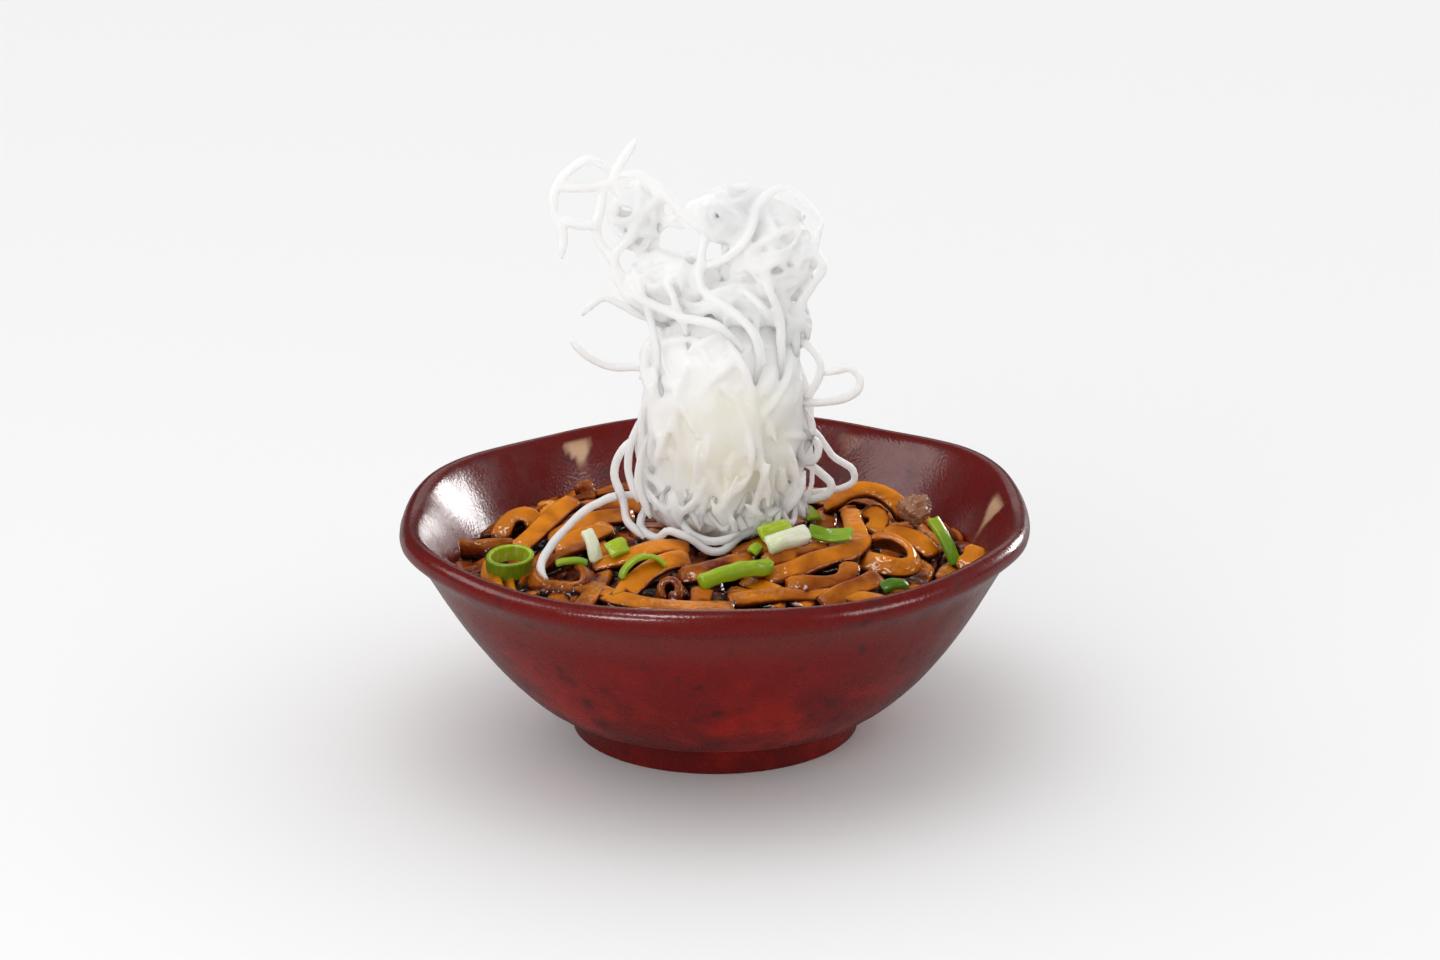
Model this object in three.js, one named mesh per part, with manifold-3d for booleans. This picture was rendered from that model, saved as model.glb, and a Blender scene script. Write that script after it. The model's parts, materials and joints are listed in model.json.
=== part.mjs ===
// A red glazed bowl of noodles in brown sauce, with cut scallion on them and a tall nest of crisp
// fried rice noodle on top. Millimetres and degrees, +Z up. The origin is the middle of the foot, on
// the surface that the bowl stands on. +X is to the right and +Y is away from someone who looks at
// the bowl from the front.
import * as THREE from "three";
import { mergeVertices } from "three/addons/utils/BufferGeometryUtils.js";
import Module from "manifold-3d";

const wasm = await Module();
wasm.setup();

// Bowl: radius and height of each turn in its outline, read from the foot up.
const FOOT = { radius: 41.3, height: 6.8, inside: 36.4, recess: 4.4, round: 0.8 };
const RIDGE = { radius: 43.2, height: 7.9 };
const UNDER_LIP = { radius: 85, height: 56.6 };
const LIP = { radius: 87, height: 62, roll: 3.6 };
const BODY_SWELL = 0.62;
const WALL = 5;
const FLOOR_HEIGHT = 11.6;
const BOWL_FACETS = 48;

// The rim is hand shaped: six shallow petals on a slightly oval ring. Even orders keep the bowl centred.
const RIM_WAVES = [
  { order: 2, outward: 1.8, upward: 0.5, peak: 53 },
  { order: 6, outward: 0.5, upward: 0.7, peak: 31 },
  { order: 8, outward: 0.4, upward: 0.2, peak: 26 },
];
const WAVES_START = 18;

// Heap of noodles: a domed, lumpy core that fills the bowl, and the noodles that lie on it.
const HEAP = { middle: 56.5, edge: 48.5, radius: 78 };
const CORE = { depth: 2.4, radius: 95, rings: 4, facets: 14, lump: 0.9 };
const NOODLE = { width: 6.2, thickness: 3.2, taper: 0.5, step: 8, press: 1.5, settle: 0.5 };

// The point that the noodles in front lean away from, so that their faces show from the front.
const BEHIND = [0, 1000];

// Clear space between the bowl and the heap, between the heap and the nest, and round a topping.
const BOWL_GAP = 0.5;
const GAP = 0.35;
const ROOM = 0.6;

// How far a joined surface may move when its small faces are merged, and when slivers left by a cut are.
const SMOOTHING = 0.5;
const TRIM = 0.05;

// Nest of fried rice noodle: a dense middle, and the puffed strands round it.
const NEST = { x: 2.5, bottom: 60, seat: 21, strand: 1.5, sides: 4, step: 6.6, drape: 4 };

const radians = THREE.MathUtils.degToRad;
const vector = (x, y, z) => new THREE.Vector3(x, y, z);

// A copy of a geometry that has only its corners, with those that meet made one.
function mergedCopy(geometry) {
  const loose = geometry.index ? geometry.toNonIndexed() : geometry;
  const corners = new THREE.BufferGeometry();
  corners.setAttribute("position", loose.getAttribute("position").clone());
  return mergeVertices(corners);
}

// A closed three.js geometry as a solid that can be joined and cut.
function solidOf(geometry) {
  const merged = mergedCopy(geometry);
  return new wasm.Manifold(
    new wasm.Mesh({
      numProp: 3,
      vertProperties: merged.attributes.position.array,
      triVerts: new Uint32Array(merged.index.array),
    }),
  );
}

// A solid back as a three.js geometry.
function geometryOf(solid) {
  const mesh = solid.getMesh();
  const geometry = new THREE.BufferGeometry();
  geometry.setAttribute("position", new THREE.BufferAttribute(new Float32Array(mesh.vertProperties), 3));
  geometry.setIndex(new THREE.BufferAttribute(new Uint32Array(mesh.triVerts), 1));
  geometry.computeVertexNormals();
  return geometry;
}

// The largest of the bodies in a solid, which drops the loose scraps that a cut leaves.
function largest(solid) {
  return solid.decompose().reduce((best, body) => (body.volume() > best.volume() ? body : best));
}

// The room that a piece takes up with a gap round it: the piece with its corners moved out.
function roomFor(geometry) {
  const swollen = mergedCopy(geometry);
  swollen.computeVertexNormals();
  const { position, normal } = swollen.attributes;
  for (let i = 0; i < position.count; i++) {
    const point = vector(position.getX(i), position.getY(i), position.getZ(i));
    point.addScaledVector(vector(normal.getX(i), normal.getY(i), normal.getZ(i)), ROOM);
    position.setXYZ(i, ...point.toArray());
  }
  return solidOf(swollen);
}

// Repeatable numbers from 0 to 1.
function seeded(seed) {
  let state = seed;
  return () => {
    state = (state + 0x6d2b79f5) | 0;
    let mixed = Math.imul(state ^ (state >>> 15), 1 | state);
    mixed = (mixed + Math.imul(mixed ^ (mixed >>> 7), 61 | mixed)) ^ mixed;
    return ((mixed ^ (mixed >>> 14)) >>> 0) / 4294967296;
  };
}

// Height of a mesh's top over a place, or zero beside it.
const SKY = 200;
function topOf(mesh, x, y) {
  const ray = new THREE.Raycaster(vector(x, y, SKY), vector(0, 0, -1));
  return ray.intersectObject(mesh)[0]?.point.z ?? 0;
}

// How far a shape has to rise, or fall, until all of its corners are just clear of a mesh under it.
function riseOver(mesh, geometry) {
  const position = geometry.getAttribute("position");
  let rise = -Infinity;
  for (let i = 0; i < position.count; i++) {
    rise = Math.max(rise, topOf(mesh, position.getX(i), position.getY(i)) - position.getZ(i));
  }
  return rise;
}

// Bowl

// How far the hand shaping moves a point of the bowl at an angle and a height.
function rimWave(angle, height) {
  const share = THREE.MathUtils.smoothstep(height, WAVES_START, LIP.height);
  const moved = { outward: 0, upward: 0 };
  for (const { order, outward, upward, peak } of RIM_WAVES) {
    const swing = share * Math.cos(order * (angle - radians(peak)));
    moved.outward += outward * swing;
    moved.upward += upward * swing;
  }
  return moved;
}

// Turns an outline of radius and height into a solid of revolution about +Z, with the rim's waves.
function turned(outline, facets) {
  const geometry = new THREE.LatheGeometry(outline, facets).rotateX(Math.PI / 2);
  const position = geometry.getAttribute("position");
  for (let i = 0; i < position.count; i++) {
    const [x, y, z] = [position.getX(i), position.getY(i), position.getZ(i)];
    const radius = Math.hypot(x, y);
    if (radius < 1) continue;
    const wave = rimWave(Math.atan2(y, x), z);
    const grow = 1 + wave.outward / radius;
    position.setXYZ(i, x * grow, y * grow, z + wave.upward);
  }
  return geometry;
}

// A point of the outer wall, from 0 at the ridge over the foot to 1 under the lip.
function outerWall(share) {
  const radius = RIDGE.radius + (UNDER_LIP.radius - RIDGE.radius) * share ** BODY_SWELL;
  return new THREE.Vector2(radius, THREE.MathUtils.lerp(RIDGE.height, UNDER_LIP.height, share));
}

// The same point moved inwards, square to the wall.
function innerWall(share, depth) {
  const along = outerWall(share + 0.01).sub(outerWall(share - 0.01)).normalize();
  return outerWall(share).add(new THREE.Vector2(-along.y, along.x).multiplyScalar(depth));
}

const OUTER_SHARES = [0.04, 0.14, 0.3, 0.5, 0.74, 1];
const INNER_SHARES = [0.06, 0.22, 0.5, 0.98];

function bowlOutline() {
  const { radius, height, inside, recess, round } = FOOT;
  const foot = [
    [0, recess],
    [inside - 1.2, recess],
    [inside, 0],
    [radius - round, 0],
    [radius, round],
    [radius - 0.6, height],
    [RIDGE.radius, RIDGE.height],
  ];
  const lipAngles = [-60, -5, 50, 100, 155];
  const lip = lipAngles.map((angle) => [
    LIP.radius + LIP.roll * Math.cos(radians(angle)),
    LIP.height + LIP.roll * Math.sin(radians(angle)),
  ]);
  const points = (list) => list.map(([r, z]) => new THREE.Vector2(r, z));
  const inner = INNER_SHARES.toReversed().map((share) => innerWall(share, WALL));
  return [
    ...points(foot),
    ...OUTER_SHARES.map(outerWall),
    ...points(lip),
    ...inner,
    new THREE.Vector2(0, FLOOR_HEIGHT),
  ];
}

// The room inside the bowl, a gap clear of its wall, and open above the rim.
function cavity() {
  const wall = INNER_SHARES.map((share) => innerWall(share, WALL + BOWL_GAP));
  const top = wall.at(-1);
  return solidOf(
    turned(
      [
        new THREE.Vector2(0, FLOOR_HEIGHT + BOWL_GAP + 0.2),
        ...wall,
        new THREE.Vector2(top.x, LIP.height + 30),
        new THREE.Vector2(0, LIP.height + 30),
      ],
      BOWL_FACETS,
    ),
  );
}

// Noodles

// Height of the heap's even surface, before the noodles on it.
function heapTop(x, y) {
  const share = Math.min(1, Math.hypot(x, y) / HEAP.radius);
  return HEAP.middle - (HEAP.middle - HEAP.edge) * share * share;
}

// The core: a lumpy dome that is later trimmed to the inside of the bowl.
function heapCore() {
  const outline = [new THREE.Vector2(0, 0), new THREE.Vector2(CORE.radius, 0)];
  for (let i = 0; i <= CORE.rings; i++) {
    const radius = CORE.radius * (1 - i / CORE.rings);
    outline.push(new THREE.Vector2(radius, heapTop(radius, 0) - CORE.depth));
  }
  const geometry = new THREE.LatheGeometry(outline, CORE.facets).rotateX(Math.PI / 2);
  const position = geometry.getAttribute("position");
  for (let i = 0; i < position.count; i++) {
    const [x, y, z] = [position.getX(i), position.getY(i), position.getZ(i)];
    const lump = CORE.lump * Math.sin(0.21 * x + 1.3) * Math.cos(0.17 * y - 0.4);
    if (z > 1) position.setZ(i, z + lump);
  }
  return solidOf(geometry);
}

// The level place in the heap that the nest stands on.
function nestSeat() {
  const [low, high] = [NEST.bottom - GAP, 100];
  const outline = [
    [0, low],
    [NEST.seat, low],
    [NEST.seat, high],
    [0, high],
  ].map(([r, z]) => new THREE.Vector2(r, z));
  return solidOf(new THREE.LatheGeometry(outline, 24).rotateX(Math.PI / 2).translate(NEST.x, 0, 0));
}

// A curve whose flat section leans away from a point, from 0 where it lies face up to 90 where it
// stands on its edge.
class RibbonPath extends THREE.CatmullRomCurve3 {
  constructor(points, about, lean) {
    super(points);
    this.about = about;
    this.lean = lean;
  }

  computeFrenetFrames(steps) {
    const frames = { tangents: [], normals: [], binormals: [] };
    for (let i = 0; i <= steps; i++) {
      const tangent = this.getTangentAt(i / steps);
      const here = this.getPointAt(i / steps);
      const lean = radians(THREE.MathUtils.lerp(...this.lean, i / steps));
      const face = vector(here.x - this.about[0], here.y - this.about[1], 0).setLength(Math.sin(lean));
      face.z = Math.cos(lean);
      const normal = face.addScaledVector(tangent, -face.dot(tangent)).normalize();
      frames.tangents.push(tangent);
      frames.normals.push(normal);
      frames.binormals.push(tangent.clone().cross(normal));
    }
    return frames;
  }
}

// A noodle's section: flat, a little wider on its upper face.
function noodleSection() {
  const [t, w] = [NOODLE.thickness / 2, NOODLE.width / 2];
  const corners = [
    [-t, NOODLE.taper - w],
    [t, -w],
    [t, w],
    [-t, w - NOODLE.taper],
  ];
  return new THREE.Shape(corners.map(([x, y]) => new THREE.Vector2(x, y)));
}

// A noodle through its listed bends, each with x, y and its height over the heap's even surface.
function noodleSolid({ bends, lean, about = BEHIND }) {
  const points = [];
  for (let i = 0; i < bends.length; i += 3) {
    const [x, y, lift] = bends.slice(i, i + 3);
    points.push(vector(x, y, heapTop(x, y) + lift));
  }
  const extrudePath = new RibbonPath(points, about, lean);
  const steps = Math.max(points.length - 1, Math.round(extrudePath.getLength() / NOODLE.step));
  return solidOf(new THREE.ExtrudeGeometry(noodleSection(), { steps, extrudePath, curveSegments: 1 }));
}

// Adds a noodle to the pile, let down until it is pressed a little into what it lies on and is joined
// to it.
function laidOn(pile, noodle) {
  const solid = largest(noodleSolid(noodle).subtract(seat));
  const rise = riseOver(new THREE.Mesh(geometryOf(pile)), geometryOf(solid));
  let lift = Math.min(rise - NOODLE.press, 0);
  let joined = pile.add(solid.translate(0, 0, lift));
  while (joined.decompose().length > 1) {
    lift -= NOODLE.settle;
    joined = pile.add(solid.translate(0, 0, lift));
  }
  return joined;
}

// The noodles that show one by one, from the low ones to those on top of them.
const LAID_NOODLES = [
  { lean: [20, 20], bends: [3.7, -39.4, -1, 8.9, -42.5, -1, 14.1, -45.7, -1, 19.3, -47.1, -1] },
  {
    lean: [25, 25],
    bends: [
      7.6, -35.2, 0.2, 13.1, -39.4, 0.2, 18.3, -42.4, 0, 23, -44.9, -0.4, 27.7, -46.2, -0.8,
    ],
  },
  { lean: [40, 40], bends: [-3.6, -43.6, 2, -4, -48.5, 0.6, -4.5, -51.2, -1.4] },
  {
    lean: [60, 60], about: [-12, -43],
    bends: [
      -15.1, -45.5, -0.6, -15.4, -42.6, 0.8, -14.4, -41, 2, -12, -40.8, 2.6, -9.9, -42.1, 2.4,
      -8.9, -44.3, 1.4, -10.2, -45.6, 0.4, -12.8, -45.4, -0.2,
    ],
  },
  { lean: [60, 60], bends: [-61.3, 16.5, 1.2, -57.8, 18.9, 1.8, -54.7, 23.5, 1.8, -51.4, 29.4, 1.2] },
  {
    lean: [42, 42],
    bends: [
      28.7, -47.2, -0.2, 32.7, -44.9, 1.2, 37.7, -40.9, 2.2, 42.1, -36.4, 2.6, 45.4, -32.1, 2.4,
    ],
  },
  {
    lean: [62, 62], about: [-41, -28],
    bends: [
      -36.9, -13.9, 3.4, -40.1, -18.2, 3.6, -44.2, -22.4, 3.4, -48.1, -25.6, 2.6, -50.3, -27.7, 1.2,
      -48.7, -31.4, 0, -44.4, -33.7, -0.6, -39.5, -35.9, -0.6, -35.8, -36.7, 0.4, -34.7, -34.8, 1.8,
      -35.5, -31.4, 2.6, -38, -28.2, 2.8,
    ],
  },
  { lean: [78, 70], bends: [-73.4, 4.5, 3.2, -68.2, 1.9, 3, -62.7, 1.8, 2.2, -57.1, 4.4, 0.8] },
  { lean: [35, 35], bends: [-49.4, 30.9, 3.8, -48.5, 21.5, 1.5] },
  {
    lean: [50, 42],
    bends: [
      -27.9, -48.7, -0.8, -24.8, -43.6, 1.2, -21.2, -39.1, 2.8, -17.2, -35.1, 4.2, -12.6, -31.6, 4.6,
      -7.4, -29, 4,
    ],
  },
  {
    lean: [38, 34],
    bends: [
      19.2, -40.6, 1.8, 24.3, -41, 2.4, 29.4, -39.8, 2.2, 34.2, -37.2, 2.4, 36.7, -33.6, 3.4,
      37.1, -29.4, 4.4,
    ],
  },
  { lean: [38, 38], bends: [-45.2, -11.1, 2, -39.9, -8.8, 3.4, -34.6, -6, 4, -30.4, -0.2, 4] },
  {
    lean: [35, 35],
    bends: [
      -47.8, -1.4, 2.2, -41.9, 2.4, 3.2, -36.1, 6.5, 4, -29.5, 8.4, 4.2, -23.6, 10.5, 3.6,
    ],
  },
  { lean: [35, 35], bends: [-37.4, 13.5, 3.2, -31.9, 13.9, 4.2, -26.4, 15.2, 4.2, -20.9, 15.7, 3.6] },
  {
    lean: [25, 25],
    bends: [
      -62.2, 13.2, 0, -61.6, 14.6, 3.4, -59.5, 17.9, 6, -56.1, 18.2, 7, -53.3, 17.3, 6,
      -51.9, 15.6, 3.4, -51.9, 14.8, 1,
    ],
  },
  {
    lean: [24, 24],
    bends: [
      -34.5, -27.1, 2.2, -30.2, -27.1, 3, -24.4, -26.2, 4, -18.6, -24.1, 4.8, -13.3, -22.7, 5,
      -7.4, -22.2, 4.2,
    ],
  },
  { lean: [40, 40], bends: [30.1, 19.9, 4.4, 31.7, 14.2, 4.8, 31.7, 8.2, 4, 30.6, 5, 2.4] },
  {
    lean: [38, 38],
    bends: [
      -10, -36.8, 2.8, -5.2, -36.9, 3.8, 0, -34.6, 4.4, 5.3, -32, 4.6, 11.1, -28.5, 4,
    ],
  },
  {
    lean: [45, 38],
    bends: [
      11.1, -36.5, 0.6, 16, -35.6, 1.8, 21.2, -34.1, 3, 26.4, -30.3, 4.2, 31.8, -26.6, 4.8,
      37, -23.2, 5.2, 39.9, -18.8, 6, 40.9, -13.6, 7,
    ],
  },
  { lean: [36, 36], bends: [5, -25.5, 3.2, 12, -23, 4.8, 19, -20, 5, 26, -15, 4.4, 30.5, -8, 3] },
  { lean: [36, 30], bends: [68.3, -9.6, 0.4, 71.3, -8.8, 3.4, 73.9, -6, 5.6, 75.3, -4.5, 7.4] },
  {
    lean: [30, 30],
    bends: [
      47.4, 3.4, 3.2, 50.8, 3.3, 5, 54.7, 1.1, 5.6, 58.1, -2.3, 5.2, 60.5, -4.9, 4, 61.9, -6.1, 2.6,
    ],
  },
  {
    lean: [10, 10],
    bends: [
      -40.8, 14.7, 3.4, -38.3, 14.7, 5, -35.2, 15.1, 5.4, -32.5, 15.1, 4.6, -30.6, 14.2, 3.2,
    ],
  },
  { lean: [30, 30], bends: [-39, 36.9, 7.5, -38.4, 37.3, 4.5, -37.3, 35.4, 1] },
  {
    lean: [58, 58], about: [49, -20],
    bends: [
      40.3, -21, 2.6, 43.1, -23.4, 3, 47.6, -25.2, 3.2, 51.5, -25.7, 3.4, 54.6, -24, 3.8,
      55.6, -21.2, 4.6, 54.8, -18.6, 5.6, 51.9, -16.3, 6.4, 48.2, -14.7, 6.6, 44.5, -14.4, 5.8,
      41.9, -14.8, 4.4,
    ],
  },
  { lean: [38, 38], bends: [13.2, -32.2, 4.2, 19, -29.9, 4.9, 25.4, -27.1, 5, 31, -19.3, 4.2] },
  {
    lean: [38, 34],
    bends: [
      -56.4, -5.4, 1, -52.3, -2, 3.4, -47.7, 4.4, 5.4, -43.5, 10.5, 7.2, -40.4, 14.4, 8,
    ],
  },
  {
    lean: [35, 35],
    bends: [
      42.8, 13.2, 6.4, 45.4, 11.4, 6.8, 46.9, 9.6, 5.8, 46.2, 6.2, 4.4, 44.1, 3.7, 3,
    ],
  },
  {
    lean: [60, 50],
    bends: [
      38.3, 3.2, 8, 38.7, -1.3, 7.2, 39.3, -6.8, 6.4, 40.3, -11, 5.4, 41.4, -14, 3.8,
    ],
  },
  {
    lean: [28, 32],
    bends: [
      32, 16.1, 3.2, 34, 14.1, 7, 37.6, 15.1, 9.6, 42.4, 16.2, 10.8, 47, 15.3, 10.8, 50.9, 13.5, 9.4,
      53.3, 11.9, 7.2, 54.2, 11.3, 4.6,
    ],
  },
];

// More of them all round, in three rings, with turns in and out. Those at the back pile up higher.
const RING_NOODLES = {
  seed: 11,
  count: 21,
  rings: [33, 49, 65],
  scatter: [-3, 3],
  lift: [0, 1.4],
  pile: 1.4,
  skew: [60, 115],
  length: [34, 50],
  turn: [20, 90],
  lean: [0, 35],
  bends: 5,
};

function ringNoodles() {
  const { seed, count, rings, pile, bends: corners } = RING_NOODLES;
  const random = seeded(seed);
  const pick = (name) => THREE.MathUtils.lerp(...RING_NOODLES[name], random());
  return Array.from({ length: count }, (_, i) => {
    const angle = (i / count) * 360;
    const radius = rings[i % rings.length] + pick("scatter");
    const [x, y] = [radius * Math.cos(radians(angle)), radius * Math.sin(radians(angle))];
    const at = vector(x, y, pick("lift") + pile * Math.max(0, Math.sin(radians(angle))));
    const heading = angle + pick("skew");
    const step = pick("length") / (corners - 1);
    const turn = pick("turn") * (i % 4 ? 1 : -0.6);
    const bends = [];
    for (let k = 0; k < corners; k++) {
      bends.push(...at.toArray());
      const way = radians(heading + (turn * (k + 0.5)) / (corners - 1));
      at.add(vector(step * Math.cos(way), step * Math.sin(way), 0));
    }
    const lean = pick("lean");
    return { bends, lean: [lean, lean], about: [0, 0] };
  });
}

// Scallion

// A slice across the hollow leaf: a squashed tube.
function scallionRing([wide, tall, wall, length]) {
  const shape = new THREE.Shape().absellipse(0, 0, wide / 2, tall / 2, 0, 2 * Math.PI);
  shape.holes.push(new THREE.Path().absellipse(0, 0, wide / 2 - wall, tall / 2 - wall, 0, 2 * Math.PI, true));
  return new THREE.ExtrudeGeometry(shape, { depth: length, bevelEnabled: false, curveSegments: 5 }).center();
}

// A strip of leaf or stalk, bent by an angle along its length.
function scallionStrip([length, width, thickness, bend]) {
  const radius = length / radians(bend);
  const [low, high] = [radians(90 - bend / 2), radians(90 + bend / 2)];
  const shape = new THREE.Shape()
    .absarc(0, 0, radius + thickness / 2, low, high, false)
    .absarc(0, 0, radius - thickness / 2, high, low, true);
  return new THREE.ExtrudeGeometry(shape, { depth: width, bevelEnabled: false, curveSegments: 2 }).center();
}

// Each piece: a ring's width, height, wall and length, or a strip's length, width, thickness and bend,
// its place on the heap, its turns about X, Y and Z in that order, and how far it is sunk in.
const SCALLIONS = {
  scallion_ring_left: { ring: [13, 11, 1.7, 5.4], x: -57.4, y: -18.5, turns: [10, 0, 14], sink: 1.4 },
  scallion_white_left: { strip: [9.5, 3.9, 1.6, 50], x: -34.1, y: -25.9, turns: [90, 58, -54], sink: 1.4 },
  scallion_lime_left: { strip: [6, 5.2, 1.8, 30], x: -27.4, y: -26, turns: [125, -12, 30], sink: 0.8 },
  scallion_sliver_left: { strip: [9, 2.8, 1.2, 50], x: -39.8, y: -29.6, turns: [100, 0, 5], sink: 1 },
  scallion_arch_front: { strip: [17, 3, 1.2, 130], x: -20.3, y: -37.1, turns: [82, -8, 24], sink: 2 },
  scallion_roll_front: { strip: [22, 4.2, 3.6, 24], x: 5.6, y: -40.4, turns: [90, -4, 24], sink: 1.2 },
  scallion_crumb_front: { strip: [6, 3.2, 1.6, 80], x: 11.2, y: -26.9, turns: [120, 0, 70], sink: 0.8 },
  scallion_white_block: { strip: [13, 5.4, 3.2, 14], x: 19.8, y: -27.4, turns: [128, -8, 26], sink: 0.8 },
  scallion_lime_block: { strip: [9.5, 4.8, 3, 24], x: 16.1, y: -20.6, turns: [128, -8, 24], sink: 0.6 },
  scallion_leaf_right: { strip: [8, 6, 1.4, 50], x: 26.5, y: 7, turns: [120, 16, 50], sink: 0.6 },
  scallion_strip_right: { strip: [13, 4.4, 1.4, 64], x: 32, y: -19, turns: [-55, 0, -12], sink: 0.6 },
  scallion_stick_right: { strip: [15, 4.2, 1.6, 20], x: 65, y: -5.4, turns: [90, 52, -44], sink: 3 },
  scallion_tuft_right: { strip: [8, 4, 1.6, 70], x: 49.4, y: -36.1, turns: [110, 0, 20], sink: 1.6 },
  scallion_ring_back: { ring: [10, 8, 1.4, 5], x: 20, y: 48, turns: [20, 12, 40], sink: 1.4 },
  scallion_strip_back: { strip: [14, 4.5, 1.5, 40], x: -18, y: 44, turns: [80, 0, 150], sink: 1.2 },
  scallion_white_back: { strip: [9, 5, 3, 24], x: 48, y: 26, turns: [60, 0, 100], sink: 1 },
};

// A topping in its place, let down onto the heap until it is sunk as far as it is said to be.
function restOn(heap, geometry, { x, y, sink }) {
  geometry.translate(x, y, 0);
  return geometry.translate(0, 0, riseOver(heap, geometry) - sink);
}

function scallionGeometry({ ring, strip, turns }) {
  const geometry = ring ? scallionRing(ring) : scallionStrip(strip);
  const [aboutX, aboutY, aboutZ] = turns.map(radians);
  return geometry.rotateX(aboutX).rotateY(aboutY).rotateZ(aboutZ);
}

// A rough crumb of browned meat, half sunk in the sauce.
const MEAT = { x: 57.7, y: 9.3, size: [5, 4.2, 4], sink: 1.6 };

function meatGeometry() {
  const random = seeded(3);
  const geometry = mergedCopy(new THREE.IcosahedronGeometry(1, 1));
  const position = geometry.getAttribute("position");
  for (let i = 0; i < position.count; i++) {
    const rough = 0.78 + 0.4 * random();
    position.setXYZ(i, position.getX(i) * rough, position.getY(i) * rough, position.getZ(i) * rough);
  }
  return geometry.scale(...MEAT.size);
}

// Nest of fried rice noodle

function strandSolid(points, radius = NEST.strand) {
  const path = new THREE.CatmullRomCurve3(points);
  const steps = Math.max(4, Math.round(path.getLength() / NEST.step));
  const corners = Array.from({ length: NEST.sides }, (_, i) => {
    const angle = (i * 2 * Math.PI) / NEST.sides;
    return new THREE.Vector2(radius * Math.cos(angle), radius * Math.sin(angle));
  });
  return solidOf(new THREE.ExtrudeGeometry(new THREE.Shape(corners), { steps, extrudePath: path }));
}

// A lumpy solid of revolution about an upright line.
function clump({ x, y, lumps, outline }) {
  const profile = outline.map(([r, z]) => new THREE.Vector2(r, z));
  const geometry = new THREE.LatheGeometry(profile, 12).rotateX(Math.PI / 2);
  const position = geometry.getAttribute("position");
  for (let i = 0; i < position.count; i++) {
    const [px, py, pz] = [position.getX(i), position.getY(i), position.getZ(i)];
    const grow = 1 + lumps * Math.sin(3 * Math.atan2(py, px) + 0.12 * pz);
    position.setXYZ(i, x + px * grow, y + py * grow, pz);
  }
  return solidOf(geometry);
}

// A strand's curve through its listed bends, with its low points lifted clear of the heap.
function draped(heap, bends) {
  const points = Array.from({ length: bends.length / 3 }, (_, i) => vector(...bends.slice(3 * i, 3 * i + 3)));
  const curve = new THREE.CatmullRomCurve3(points);
  const along = curve.getSpacedPoints(Math.round(curve.getLength() / NEST.drape));
  for (const point of along) {
    const steps = [-NEST.strand, 0, NEST.strand];
    const around = steps.flatMap((dx) => steps.map((dy) => topOf(heap, point.x + dx, point.y + dy)));
    point.z = Math.max(point.z, Math.max(...around) + NEST.strand + GAP);
  }
  return along;
}

// The dense parts of the nest: the column over the noodles, and the thicker part of the crown at its
// right.
const NEST_CLUMPS = [
  {
    x: NEST.x,
    y: 0,
    lumps: 0.08,
    outline: [
      [0, NEST.bottom],
      [15, NEST.bottom],
      [22, 66],
      [23.5, 80],
      [23, 98],
      [21, 112],
      [14, 122],
      [0, 127],
    ],
  },
  {
    x: 15,
    y: 1,
    lumps: 0.12,
    outline: [
      [0, 116],
      [9, 124],
      [12, 136],
      [10.5, 147],
      [5, 153],
      [0, 154.5],
    ],
  },
];

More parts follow.
